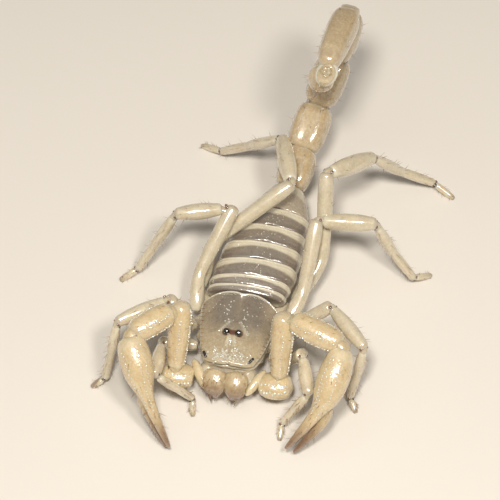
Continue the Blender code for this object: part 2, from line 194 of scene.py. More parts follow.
def points(piece):
    """The piece's corners in millimetres, as an array."""
    found = np.empty(len(piece.data.vertices) * 3)
    piece.data.vertices.foreach_get("co", found)
    return found.reshape(-1, 3) / MM


def move_points(piece, places):
    piece.data.vertices.foreach_set("co", (np.asarray(places) * MM).ravel())
    piece.data.update()


def dress(piece, slot, finish, *nodes):
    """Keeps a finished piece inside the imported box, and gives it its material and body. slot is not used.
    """
    low, high = (np.array(corner) / MM for corner in CAD_BOX)
    move_points(piece, np.clip(points(piece), low, high))
    piece.data.materials.clear()
    piece.data.materials.append(finish)
    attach(piece, "root")
    if nodes:
        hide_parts(*nodes)
    return piece


def bell(value, width):
    """1 at zero, falling away smoothly over this width."""
    return np.exp(-((value / width) ** 2))


print("helpers ready")

# %% [markdown]
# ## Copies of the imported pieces
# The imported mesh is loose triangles. A copy of it is merged, its triangles are paired to four-sided
# faces, and a subdivision surface rounds it. Rounding also pulls a tube inwards, by a tenth of its
# radius when it has eight sides, so the copy is fattened a little first and ends at its true width.

# %% Copy and round
MERGE_MM = 0.002  # corners nearer than this are the same corner
PAIRING_ANGLE = 1.2  # two triangles that bend less than this, in radians, may become one face


def bare_copy(node, name):
    """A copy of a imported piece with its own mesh, free of its parent and its tags."""
    piece = frame["nodes"][node].copy()
    piece.data = piece.data.copy()
    piece.name = name
    piece.parent = None
    for key in list(piece.keys()):
        del piece[key]
    bpy.context.scene.collection.objects.link(piece)
    return piece


def cast(node, name, swell, levels=2):
    """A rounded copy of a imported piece. swell is how far its skin is first moved out, in millimetres."""
    piece = bare_copy(node, name)
    pick(piece)
    bpy.ops.mesh.customdata_custom_splitnormals_clear()
    bpy.ops.object.mode_set(mode="EDIT")
    bpy.ops.mesh.select_all(action="SELECT")
    bpy.ops.mesh.remove_doubles(threshold=MERGE_MM * MM)
    bpy.ops.mesh.tris_convert_to_quads(face_threshold=PAIRING_ANGLE, shape_threshold=PAIRING_ANGLE)
    bpy.ops.transform.shrink_fatten(value=swell * MM)
    bpy.ops.object.mode_set(mode="OBJECT")
    apply_modifier(piece, "SUBSURF", levels=levels, render_levels=levels)
    bpy.ops.object.shade_smooth()
    return piece


print("ready to copy and round", len(frame["nodes"]), "packed pieces")

# %% [markdown]
# ## Where pieces meet
# Every packed limb piece ends in two flat faces. They are found by merging all level neighbours into
# one face with many corners, which only the flat ends have. Their centre, direction and radius say
# where a joint lies and how thick the limb is there.

# %% Flat ends
LEVEL_ANGLE = 0.02  # neighbours that bend less than this, in radians, are one flat face


class End:
    """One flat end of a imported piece, in millimetres."""

    def __init__(self, face):
        self.corners = [v.co / MM for v in face.verts]
        self.centre = face.calc_center_median() / MM
        self.outward = face.normal.copy()
        self.radius = sum((c - self.centre).length for c in self.corners) / len(self.corners)


def flat_ends(node):
    """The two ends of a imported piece: its faces with the most corners."""
    bm = bmesh.new()
    bm.from_mesh(frame["nodes"][node].data)
    bmesh.ops.remove_doubles(bm, verts=bm.verts, dist=MERGE_MM * MM)
    bmesh.ops.dissolve_limit(bm, angle_limit=LEVEL_ANGLE, verts=bm.verts, edges=bm.edges)
    faces = sorted(bm.faces, key=lambda face: -len(face.verts))[:2]
    ends = [End(face) for face in faces]
    bm.free()
    return ends


def wide_end_first(node):
    """(root, tip) of a piece that narrows towards its tip."""
    first, second = flat_ends(node)
    return (first, second) if first.radius > second.radius else (second, first)


print("corners of the flat ends of tail_5:", [len(end.corners) for end in flat_ends("tail_5")])

# %% [markdown]
# ## Limbs as chains
# A limb is a chain of pieces that hang on one another. Which end of a piece is its start isn't written
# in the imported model, so it is found: of all pairs of ends of two neighbours, the nearest two meet. The
# chains are read once here, and every joint, band and hair later is placed by them.

# %% Chains of pieces
def chain(nodes):
    """(start, end) of each piece of a limb, in order from the body."""
    ends = [flat_ends(node) for node in nodes]
    pairs = []
    for here, after in zip(ends, ends[1:]):
        meet = min(((a.centre - b.centre).length, i, j)
                   for i, a in enumerate(here) for j, b in enumerate(after))
        pairs.append(meet[1:])
    found = []
    for index, (first, second) in enumerate(ends):
        last = pairs[index][0] if index < len(pairs) else 1 - pairs[index - 1][1]
        found.append((ends[index][1 - last], ends[index][last]))
    return found


TRUNK = [f"mesosoma_{n}" for n in range(1, 8)]
TAIL = [f"tail_{n}" for n in range(1, 6)] + ["telson"]
PALP_PARTS = ("trochanter", "femur", "patella", "hand")
LEG_PARTS = ("femur", "patella", "tibia", "tarsus")
CHAINS = {"spine": chain(TRUNK + TAIL)}
for side in SIDES:
    CHAINS["palp", side] = chain([f"palp_{side}_{part}" for part in PALP_PARTS])
    for leg in (1, 2, 3, 4):
        CHAINS["leg", side, leg] = chain([f"leg_{leg}_{side}_{part}" for part in LEG_PARTS])
LAST_BARREL = CHAINS["spine"][len(TRUNK) + 4]
print("limbs read:", len(CHAINS), "- the last tail segment is",
      round((LAST_BARREL[0].centre - LAST_BARREL[1].centre).length, 2), "mm long")

# %% [markdown]
# ## Closing the joints
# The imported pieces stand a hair's breadth apart, as solids must. On the animal one segment swells and
# sits tight in the next. So the skin near an end is flared and pushed outwards, and the flat end itself
# is domed, all with a weight that fades over a short reach, which keeps the rest of the piece as it
# was.

# %% Fill an end
FILL_WIDEST = 2.2  # corners farther from the end's centre than this many radii stay put


def fill_end(piece, end, flare, push, reach, dome=0.4):
    """Widens a piece near one end and moves the end outwards, so that it sits tight against the next."""
    places = points(piece)
    outward, centre = np.array(end.outward), np.array(end.centre)
    away = places - centre
    depth = -away @ outward
    radial = away + depth[:, None] * outward
    off = np.linalg.norm(radial, axis=1) / end.radius
    weight = np.clip(1 - np.abs(depth) / reach, 0, 1) ** 2 * (off < FILL_WIDEST)
    rise = push + dome * end.radius * np.clip(1 - off ** 2, 0, 1)
    move_points(piece, places + weight[:, None] * radial * flare + (weight * rise)[:, None] * outward)


print("an end is filled as far out as", FILL_WIDEST, "radii")

# %% [markdown]
# ## The shell's finish
# The shell of this scorpion is waxy and lets light in a little way, so its colour comes from just under
# a wet-looking skin. Every finish is built from the same few nodes, so these come first: a mix of two
# colours, soft noise in the piece's own space, and a map from one range of numbers to another.

# %% Building blocks of a finish
def new_finish(name):
    """An empty finish: the material, its node tree and its shader."""
    material = bpy.data.materials.new(name)
    material.use_nodes = True
    return material, material.node_tree, material.node_tree.nodes["Principled BSDF"]


def set_inputs(node, settings):
    for key, value in settings.items():
        node.inputs[key].default_value = value


def mix_colour(tree, amount, first, second):
    """A Mix node between two colours. Each may be a socket or a plain colour, and so may the amount."""
    mix = tree.nodes.new("ShaderNodeMix")
    mix.data_type = "RGBA"
    for socket, value in ((mix.inputs[0], amount), (mix.inputs[6], first), (mix.inputs[7], second)):
        if isinstance(value, bpy.types.NodeSocket):
            tree.links.new(value, socket)
        else:
            socket.default_value = (*value, 1.0) if isinstance(value, tuple) else value
    return mix.outputs[2]


def noise(tree, place, size_mm, detail=3.0):
    """Soft noise whose blotches are about size_mm across."""
    node = tree.nodes.new("ShaderNodeTexNoise")
    set_inputs(node, {"Scale": 1 / (size_mm * MM), "Detail": detail})
    tree.links.new(place, node.inputs["Vector"])
    return node.outputs["Fac"]


def remap(tree, value, low, high, to_low=0.0, to_high=1.0):
    """Takes low to to_low and high to to_high."""
    node = tree.nodes.new("ShaderNodeMapRange")
    for index, number in ((1, low), (2, high), (3, to_low), (4, to_high)):
        node.inputs[index].default_value = number
    tree.links.new(value, node.inputs[0])
    return node.outputs[0]


print("building blocks ready")

# %% [markdown]
# ## The shell recipe
# One recipe serves every plate. A base colour is broken by soft blotches and fine pale flecks. Three stains
# are painted on the corners of each piece: brown at joints and tips, pale at rims, grey on the back; in a
# few places the same three carry painted highlight or painted shade. Fine pebbles give a bump, and where
# sparkle is asked for they also break up the clear coat's reflection. Light scatters just under the skin,
# red farther than blue, which gives the waxy look.

# %% The shell recipe
BROWN = (0.11, 0.034, 0.014)
PALE = (0.80, 0.76, 0.60)
GREY = (0.115, 0.102, 0.090)
BLOTCH_MM = 1.1
FLECK_MM = 0.22
SMEAR_MM = 0.5  # size of the duller patches in the gloss
PEBBLE_HEIGHT = 0.03 * MM
SCATTER_DEPTH = 1.0 * MM
SCATTER_COLOUR = (1.0, 0.68, 0.36)


def add_pebbles(tree, shader, place, pebble_mm, bump, sparkle):
    """Fine pebbles as a bump: one cell of the pattern is one pebble."""
    pebbles = tree.nodes.new("ShaderNodeTexVoronoi")
    pebbles.inputs["Scale"].default_value = 1 / (pebble_mm * MM)
    tree.links.new(place, pebbles.inputs["Vector"])
    height = tree.nodes.new("ShaderNodeBump")
    height.invert = True
    set_inputs(height, {"Strength": bump, "Distance": PEBBLE_HEIGHT})
    tree.links.new(pebbles.outputs["Distance"], height.inputs["Height"])
    tree.links.new(height.outputs["Normal"], shader.inputs["Normal"])
    if sparkle:
        tree.links.new(height.outputs["Normal"], shader.inputs["Coat Normal"])


def shell(name, base, blotch, roughness=0.28, glow=0.4, pebble_mm=0.16, bump=0.25, sparkle=False,
          gloss=1.5):
    """A waxy shell. blotch is the colour of its soft patches, glow how much light scatters inside it."""
    material, tree, shader = new_finish(name)
    place = tree.nodes.new("ShaderNodeTexCoord").outputs["Object"]
    painted = tree.nodes.new("ShaderNodeAttribute")
    painted.attribute_name = "stain"
    split = tree.nodes.new("ShaderNodeSeparateColor")
    tree.links.new(painted.outputs["Color"], split.inputs[0])
    colour = mix_colour(tree, remap(tree, noise(tree, place, BLOTCH_MM), 0.35, 0.7), base, blotch)
    flecks = remap(tree, noise(tree, place, FLECK_MM), 0.45, 0.75, 0.0, 0.3)
    colour = mix_colour(tree, flecks, colour, PALE)
    for index, stain_colour in ((2, GREY), (1, PALE), (0, BROWN)):
        colour = mix_colour(tree, split.outputs[index], colour, stain_colour)
    tree.links.new(colour, shader.inputs["Base Color"])
    rough = remap(tree, noise(tree, place, SMEAR_MM), 0.3, 0.7, roughness - 0.07, roughness + 0.1)
    tree.links.new(rough, shader.inputs["Roughness"])
    add_pebbles(tree, shader, place, pebble_mm, bump, sparkle)
    set_inputs(shader, {
        "Subsurface Weight": glow, "Subsurface Radius": SCATTER_COLOUR, "Subsurface Scale": SCATTER_DEPTH,
        "Coat Weight": 1.0, "Coat Roughness": 0.1, "Coat IOR": 1.9, "IOR": gloss,
    })
    return material


print("a pebble is", round(PEBBLE_HEIGHT / MM, 3), "mm high")

# %% [markdown]
# ## The finishes
# Every part of the animal has its own tone of the same ivory: cool on the legs, warm on the pincer arms,
# tan on the tail, greyish on the head. The beads are the palest and the shiniest; their near-white colour
# is partly pale grain and partly a painted highlight that stands in for the sparks of light on them. The
# soft skin between the rings is duller and nearly smooth. Each finish is one call of the recipe with its
# two colours.

# %% Finishes
LEG_SHELL = shell("leg_shell", (0.60, 0.525, 0.38), (0.52, 0.445, 0.31), roughness=0.2)
PALP_SHELL = shell("pincer_arm_shell", (0.62, 0.49, 0.28), (0.56, 0.42, 0.23), bump=0.7, pebble_mm=0.22,
                   sparkle=True)
TAIL_SHELL = shell("tail_shell", (0.50, 0.385, 0.225), (0.42, 0.305, 0.165), roughness=0.2, glow=0.5)
STING_SHELL = shell("sting_shell", (0.54, 0.42, 0.25), (0.44, 0.32, 0.18), roughness=0.2, glow=0.5)
BACK_SHELL = shell("back_plate_shell", (0.58, 0.51, 0.38), (0.50, 0.43, 0.31), glow=0.2, bump=0.7,
                   pebble_mm=0.3, sparkle=True)
HEAD_SHELL = shell("head_shield_shell", (0.47, 0.37, 0.23), (0.37, 0.285, 0.17), glow=0.25, bump=0.4,
                   pebble_mm=0.12, sparkle=True)
JAW_SHELL = shell("jaw_shell", (0.52, 0.41, 0.24), (0.42, 0.31, 0.17), glow=0.3, bump=0.6, sparkle=True)
SOFT_SKIN = shell("joint_skin", (0.50, 0.385, 0.22), (0.42, 0.31, 0.17), roughness=0.35, bump=0.1)
# partly painted highlight: the beads are paler than the shell so that they read as sparks of light
BEAD_SHELL_PAINTED_SPARKLE = shell("bead_painted_sparkle_shell", (0.86, 0.79, 0.62), (0.74, 0.64, 0.45), roughness=0.15, bump=0.0,
                   gloss=2.0)
print("shell finishes:", [m.name for m in bpy.data.materials if m.name.endswith("shell")])

# %% [markdown]
# ## Painting the stains
# A stain is a number at each corner of a piece: how brown, how pale, how grey. It is worked out from where
# the corner lies along the piece, so bands and dark ends follow the animal and not the axes of the world.
# Mostly it is the animal's own colour; where it is painted highlight or painted shade, that is said where
# it is set.

# %% Stain helpers
def stain(piece, brown=0.0, pale=0.0, grey=0.0):
    """Paints the three colour marks, brown, pale and grey, each one number for all corners or one for each.
    Mostly they are the animal's own stains; in a few places they are painted highlight or painted shade.
    """
    count = len(piece.data.vertices)
    colours = np.ones((count, 4))
    for index, amount in enumerate((brown, pale, grey)):
        colours[:, index] = np.clip(np.broadcast_to(amount, count), 0, 1)
    layer = piece.data.attributes.get("stain") or piece.data.attributes.new("stain", "FLOAT_COLOR", "POINT")
    layer.data.foreach_set("color", colours.ravel())
    return piece


def ramp(value, low, high):
    """0 below low, 1 above high, smooth between. low may be the larger one."""
    t = np.clip((value - low) / (high - low), 0, 1)
    return t * t * (3 - 2 * t)


def share_along(piece, start, end):
    """How far each corner of the piece lies from its start, as a share of its length."""
    axis = np.array(end.centre - start.centre)
    return (points(piece) - np.array(start.centre)) @ axis / (axis @ axis)


def share_between(piece, start, end):
    """The same for a piece with slanting ends: 0 all over its start, 1 all over its end."""
    behind = (np.array(start.centre) - points(piece)) @ np.array(start.outward)
    ahead = (np.array(end.centre) - points(piece)) @ np.array(end.outward)
    return behind / (behind + ahead)


print("a ramp from 0 to 1:", ramp(np.linspace(0, 1, 5), 0, 1).round(2).tolist())

# %% [markdown]
# ## Folded skin in the joints
# Between hard pieces an arthropod has soft skin, folded like a sleeve. Each joint gets one: two loops
# of edges taken from the flat ends that face each other, a little inside them, joined by the bridge
# operator with cuts between, and closed at both ends. On the limbs this skin is as pale and shiny as
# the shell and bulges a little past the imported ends; along the trunk and the tail it lies deeper and is
# duller.

# %% Joint skin
SLEEVE_INSIDE = 0.3
SLEEVE_CUTS = 4


def joint_skin(name, first, second, width):
    """A short sleeve from inside one flat end to inside the next."""
    loops = []
    for end in (first, second):
        shift = -end.outward * SLEEVE_INSIDE
        loops.append([end.centre + (corner - end.centre) * width + shift for corner in end.corners])
    count = [len(loop) for loop in loops]
    corners = [corner * MM for loop in loops for corner in loop]
    edges = [(i, (i + 1) % count[0]) for i in range(count[0])]
    edges += [(count[0] + i, count[0] + (i + 1) % count[1]) for i in range(count[1])]
    mesh = bpy.data.meshes.new(name)
    mesh.from_pydata(corners, edges, [])
    sleeve = bpy.data.objects.new(name, mesh)
    bpy.context.scene.collection.objects.link(sleeve)
    pick(sleeve)
    bpy.ops.object.mode_set(mode="EDIT")
    bpy.ops.mesh.select_all(action="SELECT")
    bpy.ops.mesh.bridge_edge_loops(number_cuts=SLEEVE_CUTS, interpolation="PATH", smoothness=0.8)
    bpy.ops.mesh.select_all(action="SELECT")
    bpy.ops.mesh.region_to_loop()
    bpy.ops.mesh.fill()
    bpy.ops.mesh.select_all(action="SELECT")
    bpy.ops.mesh.normals_make_consistent(inside=False)
    bpy.ops.object.mode_set(mode="OBJECT")
    bpy.ops.object.shade_smooth()
    return sleeve


def join(name, pieces):
    """Makes one piece of several."""
    pick(pieces[0])
    for piece in pieces:
        piece.select_set(True)
    bpy.ops.object.join()
    pieces[0].name = name
    return pieces[0]


def chain_skin(name, pairs, width):
    """All the sleeves of one limb, as one piece. width is their share of the flat ends' own width."""
    sleeves = []
    for number, (before, after) in enumerate(zip(pairs, pairs[1:])):
        sleeves.append(joint_skin(f"{name}_{number}", before[1], after[0], width))
    return join(name, sleeves)


print("a sleeve starts", SLEEVE_INSIDE, "mm inside its segment and has", SLEEVE_CUTS, "folds")

# %% [markdown]
# ## Sleeves for every joint
# The sleeves of one limb are joined to one piece, because they share one finish and never part.

# %% Sleeves
SPINE_SLEEVE = 0.96
LIMB_SLEEVE = 1.06
spine_skin = stain(chain_skin("spine_skin", CHAINS["spine"], SPINE_SLEEVE), brown=0.1)
dress(spine_skin, "trunk", SOFT_SKIN)
for key, pairs in CHAINS.items():
    if key == "spine":
        continue
    sleeves = chain_skin("_".join(str(part) for part in key) + "_skin", pairs, LIMB_SLEEVE)
    stain(sleeves, brown=0.12)
    is_leg = key[0] == "leg"
    dress(sleeves, "leg" if is_leg else "pincer_arm", LEG_SHELL if is_leg else PALP_SHELL)
print("joint sleeves made for", len(CHAINS), "limbs")

# %% [markdown]
# ## Small things on the shell
# Beads, hairs, teeth and claws are two patterns repeated: a round grain and a thin spike. Each pattern
# is modelled once with few faces, and its copies are placed by a table of origins and axes and kept as
# one piece. Thousands of separate pieces would do the same, but slowly.

# %% Patterns and their copies
def pattern_of(piece):
    """(corners, faces) of a small piece, which is then removed."""
    settle(piece)
    found = points(piece) * MM, [tuple(face.vertices) for face in piece.data.polygons]
    bpy.data.objects.remove(piece, do_unlink=True)
    return found


bpy.ops.mesh.primitive_ico_sphere_add(subdivisions=1, radius=1)
GRAIN = pattern_of(bpy.context.object)
bpy.ops.mesh.primitive_cone_add(vertices=4, radius1=1, radius2=0, depth=1, location=(0, 0, 0.5),
                                end_fill_type="TRIFAN")
SPIKE = pattern_of(bpy.context.object)


def copies(name, pattern, placed):
    """Copies of a pattern as one piece. placed holds (origin, three axes) for each, in millimetres."""
    corners, faces = pattern
    origins = np.array([origin for origin, axes in placed])
    turned = np.einsum("cj,mjk->mck", corners, np.array([axes for origin, axes in placed]))
    steps = np.arange(len(placed))[:, None, None] * len(corners)
    mesh = bpy.data.meshes.new(name)
    everything = (turned + origins[:, None]).reshape(-1, 3) * MM
    mesh.from_pydata(everything.tolist(), [], (np.array(faces) + steps).reshape(-1, 3).tolist())
    mesh.shade_smooth()
    piece = bpy.data.objects.new(name, mesh)
    bpy.context.scene.collection.objects.link(piece)
    return stain(piece)


def axes_for(forward, length, width, depth=None):
    """Axes of a copy that points forward, this long, and this wide both ways."""
    forward = np.array(forward) / np.linalg.norm(forward)
    side = np.cross(forward, (0.31, 0.17, 0.93))
    side /= np.linalg.norm(side)
    return np.array((side * width, np.cross(forward, side) * (depth or width), forward * length))


def grain(place, size, normal=(0, 0, 1), flat=0.7):
    """A bead of this size, pressed onto the surface."""
    return place, axes_for(normal, size * flat, size)


print("a grain has", len(GRAIN[1]), "faces and a spike", len(SPIKE[1]))

# %% [markdown]
# ## Places on the skin
# To sit on the shell, a bead or a hair needs a place on the surface. The middle line of a piece is read
# from slices of its corners, and a ray is sent from that line outwards until it meets the skin. Where
# it leaves is the place, and the skin's direction there says how the bead or the hair stands.

# %% Places on the skin
MIDDLE_FROM, MIDDLE_TO = 0.06, 0.94  # the middle line is read between these shares of the length
SLICES = 9
SLICE_HALF = 0.09


class Skin:
    """The surface of a limb piece, from its start to its end, in millimetres."""

    def __init__(self, piece, start, end):
        corners = points(piece)
        faces = [tuple(face.vertices) for face in piece.data.polygons]
        self.tree = BVHTree.FromPolygons(corners.tolist(), faces)
        share = share_along(piece, start, end)
        self.steps = np.linspace(MIDDLE_FROM, MIDDLE_TO, SLICES)
        self.line = np.array([corners[np.abs(share - step) < SLICE_HALF].mean(0) for step in self.steps])

    def middle(self, share):
        return np.array([np.interp(share, self.steps, self.line[:, axis]) for axis in range(3)])

    def forward(self, share):
        ahead = self.middle(min(share + 0.06, MIDDLE_TO)) - self.middle(max(share - 0.06, MIDDLE_FROM))
        return ahead / np.linalg.norm(ahead)

    def spot(self, share, toward):
        """(place, normal) where a ray from the middle line leaves the skin."""
        ahead = self.forward(share)
        toward = np.array(toward, float)
        toward -= (toward @ ahead) * ahead
        place, normal, _, _ = self.tree.ray_cast(Vector(self.middle(share)), Vector(toward))
        return (None, None) if place is None else (np.array(place), np.array(normal))


def bead_row(skin, toward, first, last, count, size, wobble=0.06):
    """A ridge of beads along a piece, on the side that toward points to."""
    row = []
    for share in np.linspace(first, last, count):
        place, normal = skin.spot(share, np.array(toward) + RANDOM.normal(0, wobble, 3))
        if place is not None:
            row.append(grain(place, size * RANDOM.uniform(0.75, 1.15), normal))
    return row


def ellipsoid(name, centre, forward, length, width, depth):
    """A smooth egg with these half sizes, in millimetres."""
    bpy.ops.mesh.primitive_uv_sphere_add(segments=24, ring_count=16, radius=1)
    egg = bpy.context.object
    egg.name = name
    axes = axes_for(forward, length, width, depth)
    move_points(egg, points(egg) * MM @ axes + np.array(centre))
    bpy.ops.object.shade_smooth()
    return stain(egg)


print("a middle line has", SLICES, "points")

# %% [markdown]
# ## Legs
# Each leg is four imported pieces. They are rounded copies, filled out at their ends so that the joints
# close, and stained brown at the far end, where two dark knobs let one segment turn in the next. The
# knobs sit on both sides of the joint, a little above its middle. Each foot ends in two small claws.

# %% Leg helpers
LEG_SWELL = {  # for legs 1 to 4, in millimetres
    "femur": (0.071, 0.076, 0.082, 0.084), "patella": (0.078, 0.085, 0.095, 0.1),
    "tibia": (0.052, 0.056, 0.062, 0.064), "tarsus": (0.032, 0.033, 0.036, 0.037),
}
LEG_FLARE, LEG_PUSH, LEG_REACH = 0.2, 0.04, 0.7
SKINS = {}
CONDYLES = []
CLAWS = []
KNOB_SIZE = 0.18
KNOB_OUT = 0.6  # how far from the joint's middle, as a share of both ends' radii added up
KNOB_RAISED = 0.6
CLAW_WIDTH = 0.07


def end_stain(share, width):
    """1 at both ends of a piece, fading over width, as a share of its length."""
    return np.maximum(ramp(share, width, 0.0), ramp(share, 1 - width, 1.0))


def knobs(first, second, size):
    """The two dark knobs on which one segment turns in the next."""
    middle = np.array(first.centre + second.centre) / 2
    across = np.cross(np.array(first.outward), np.array(second.outward))
    if np.linalg.norm(across) < 0.05:
        across = np.cross(np.array(first.outward), (0, 0, 1))
    across /= np.linalg.norm(across)
    wide = (first.radius + second.radius) * KNOB_OUT
    found = []
    for way in (-1, 1):
        facing = across * way + (0, 0, KNOB_RAISED)
        facing /= np.linalg.norm(facing)
        found.append(grain(middle + facing * wide, size, facing, 0.6))
    return found


def spike_to(root, goal, width):
    """A spike of this width from a root to where its point ends."""
    return root, axes_for(goal - root, np.linalg.norm(goal - root), width)


print("knobs are", 2 * KNOB_SIZE, "mm wide")

# %% [markdown]
# ## Shaping the legs
# All eight legs are made by one function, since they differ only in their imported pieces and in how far
# each is fattened. The claws start inside the foot and reach forwards, one to each side.

# %% Legs
def make_leg(side, leg):
    ends = CHAINS["leg", side, leg]
    for part, (start, end) in zip(LEG_PARTS, ends):
        node = f"leg_{leg}_{side}_{part}"
        piece = cast(node, node + "_shell", LEG_SWELL[part][leg - 1])
        if part != "femur":
            fill_end(piece, start, LEG_FLARE, LEG_PUSH, LEG_REACH)
        if part != "tarsus":
            fill_end(piece, end, LEG_FLARE, LEG_PUSH, LEG_REACH)
        share = share_along(piece, start, end)
        foot_brown = 0.3 if part == "tarsus" else 0.0
        brown = 0.3 * ramp(share, 0.93, 1.0) + foot_brown * ramp(share, 0.6, 1.0)
        stain(piece, brown=brown, pale=0.35 * end_stain(share, 0.1))
        SKINS[node] = Skin(piece, start, end)
        dress(piece, "leg", LEG_SHELL, node)
    for before, after in zip(ends, ends[1:]):
        CONDYLES.extend(knobs(before[1], after[0], KNOB_SIZE))
    tip, foot = np.array(ends[3][1].centre), SKINS[f"leg_{leg}_{side}_tarsus"]
    ahead = foot.forward(0.9)
    for way in (-1, 1):
        root = tip - ahead * 0.32 + (0, 0, 0.1)
        goal = tip + np.cross(ahead, (0, 0, 1)) * 0.24 * way - (0, 0, 0.07)
        CLAWS.append(spike_to(root, goal, CLAW_WIDTH))


for side in SIDES:
    for leg in (1, 2, 3, 4):
        make_leg(side, leg)
dress(stain(copies("leg_joint_knobs", GRAIN, CONDYLES), brown=0.9), "leg", LEG_SHELL)
dress(stain(copies("claws", SPIKE, CLAWS), brown=0.85), "leg", LEG_SHELL)
print("legs dressed: 8, knobs:", len(CONDYLES), "claws:", len(CLAWS))

# %% [markdown]
# ## Pincer arms
# The arms are warmer and thicker than the legs, and rows of small beads run along their edges. The hand
# goes over into the fixed finger, and the other finger turns against it from a broad root. Fingers
# darken to red-brown, and fine teeth line the sides that meet.

# %% Tables for the pincer arms
PALP_SWELL = {"trochanter": 0.085, "femur": 0.078, "patella": 0.083, "hand": 0.062, "finger": 0.04}
PALP_ROWS = {  # part: side of the row, first and last share of the length, beads, size
    "trochanter": (((0, -1, 0.4), 0.1, 0.9, 9, 0.10), ((0, -0.6, 1), 0.1, 0.9, 8, 0.08)),
    "femur": (((1, 0, 0.2), 0.06, 0.95, 22, 0.085), ((-1, 0, 0.2), 0.06, 0.95, 20, 0.07),
              ((0.35, -1, 0.6), 0.1, 0.8, 14, 0.06)),
    "patella": (((0.3, -1, 0.8), 0.08, 0.95, 18, 0.065), ((0, 1, 0.5), 0.08, 0.95, 16, 0.07),
                ((0, -1, -0.2), 0.08, 0.95, 16, 0.08)),
    "hand": (((0.5, -0.6, 0.8), 0.06, 0.62, 20, 0.06), ((-0.5, -0.6, 0.7), 0.06, 0.62, 20, 0.06),
             ((0, 0.4, 1), 0.06, 0.5, 16, 0.055)),
}
BEAD_GROWTH = 1.75  # the beads are this much larger than the table says, so that they catch the light
print("bead rows on one pincer arm:", sum(len(rows) for rows in PALP_ROWS.values()))

# %% [markdown]
# ## From shoulder to hand
# Three thick segments and the hand. Each end is flared and pushed into the next one, and the hand's
# root is pushed farthest, because it sits in a deep socket.

# %% Segments of the pincer arms
PALP_FLARE, PALP_PUSH, HAND_PUSH, PALP_REACH = 0.12, 0.2, 0.34, 1.3
BEADS = []


def make_arm(side):
    for part, (start, end) in zip(PALP_PARTS, CHAINS["palp", side]):
        node = f"palp_{side}_{part}"
        piece = cast(node, node + "_shell", PALP_SWELL[part])
        if part != "trochanter":
            fill_end(piece, start, PALP_FLARE, HAND_PUSH if part == "hand" else PALP_PUSH, PALP_REACH)
        if part != "hand":
            fill_end(piece, end, PALP_FLARE, PALP_PUSH, PALP_REACH)
        share = share_along(piece, start, end)
        brown = 0.75 * ramp(share, 0.6, 0.94) if part == "hand" else 0.15 * ramp(share, 0.95, 1.0)
        stain(piece, brown=brown, pale=0.25 * end_stain(share, 0.07))
        SKINS[node] = Skin(piece, start, end)
        for toward, first, last, count, size in PALP_ROWS[part]:
            BEADS.extend(bead_row(SKINS[node], toward, first, last, count, size * BEAD_GROWTH))
        dress(piece, "pincer_arm", PALP_SHELL, node)


print("hands are pushed", HAND_PUSH, "mm into their sockets")

# %% [markdown]
# ## The moving finger and the teeth
# The moving finger is one curved piece. Its root is widened and drawn towards the hand, so that the two
# look grown together. Where the two fingers face each other, each carries a row of fine teeth: a ray
# from the middle of one finger towards the other says where a tooth stands.

# %% Moving finger and teeth
ROOT_REACH, ROOT_WIDER, ROOT_TO_HAND = 2.2, 0.35, 0.42
TOOTH_SIZE = 0.05
TEETH = []


def finger_root(finger, start, hand):
    """Widens the moving finger's root and lays it against the hand."""
    places = points(finger)
    middle = np.array(start.centre)
    depth = -(places - middle) @ np.array(start.outward)
    near = np.clip(1 - depth / ROOT_REACH, 0, 1)[:, None] ** 2
    goal = hand.middle(0.40)
    move_points(finger, places + near * ((places - middle) * ROOT_WIDER + (goal - middle) * ROOT_TO_HAND))


def make_finger(side):
    node = f"palp_{side}_finger"
    hand = SKINS[f"palp_{side}_hand"]
    finger = cast(node, node + "_shell", PALP_SWELL["finger"])
    start, end = wide_end_first(node)
    share = share_along(finger, start, end)
    finger_root(finger, start, hand)
    stain(finger, brown=0.22 + 0.6 * ramp(share, 0.1, 0.8))
    moving = SKINS[node] = Skin(finger, start, end)
    dress(finger, "pincer_arm", PALP_SHELL, node)
    for step in np.linspace(0.25, 0.92, 22):
        beside = 0.55 + 0.42 * step  # the same place on the fixed finger, which is the far half of the hand
        facing = hand.middle(beside) - moving.middle(step)
        for own, at, toward in ((moving, step, facing), (hand, beside, -facing)):
            place, normal = own.spot(at, toward)
            if place is not None:
                TEETH.append(grain(place, TOOTH_SIZE, normal, 1.1))


for side in SIDES:
    make_arm(side)
    make_finger(side)
dress(copies("pincer_arm_beads", GRAIN, BEADS), "pincer_arm", BEAD_SHELL_PAINTED_SPARKLE)
dress(stain(copies("finger_teeth", GRAIN, TEETH), brown=0.9), "pincer_arm", PALP_SHELL)
print("pincer arm beads:", len(BEADS), "teeth:", len(TEETH))

# %% [markdown]
# ## Trunk
# Seven back plates overlap like roof tiles. Each is smoky grey-brown in front, where it slides under
# the one before, and cream along its hind edge, and the cream is wider at the sides. The flanks are
# soft and pale, and the last plate has only a breath of grey. The bands are painted by each corner's
# share of the way between the two slanting ends of its plate and by its height over the floor, so they
# bend as the plates do.

# %% Stains of a back plate
def plate_stains(share, height, across, upper, is_last):
    """(brown, pale, grey) at each corner. height and across are in millimetres, upper is 1 on the back."""
    band_start = 0.60 - 0.07 * np.clip(across - 1, 0, 3)
    rear_band = ramp(share, band_start, band_start + 0.14)
    flank = ramp(height, 3.9, 3.0)
    belly = ramp(height, 2.6, 1.8)
    grey = (0.70 + 0.14 * ramp(share, 0.3, 0.1)) * (1 - rear_band) * (1 - flank)
    if is_last:
        grey = 0.3 * (1 - ramp(share, 0.7, 1.0)) * (1 - flank)
    lines = 0.12 * (0.5 + 0.5 * np.sin(share * 40)) * ramp(across, 1.8, 3.0)
    brown = 0.05 + 0.08 * belly + 0.10 * (1 - rear_band) * upper + (0.08 if is_last else 0)
    return brown + lines, 0.36 * rear_band + 0.3 * flank * (1 - belly), grey


print("the hind band takes 0.4 of a plate at its middle")

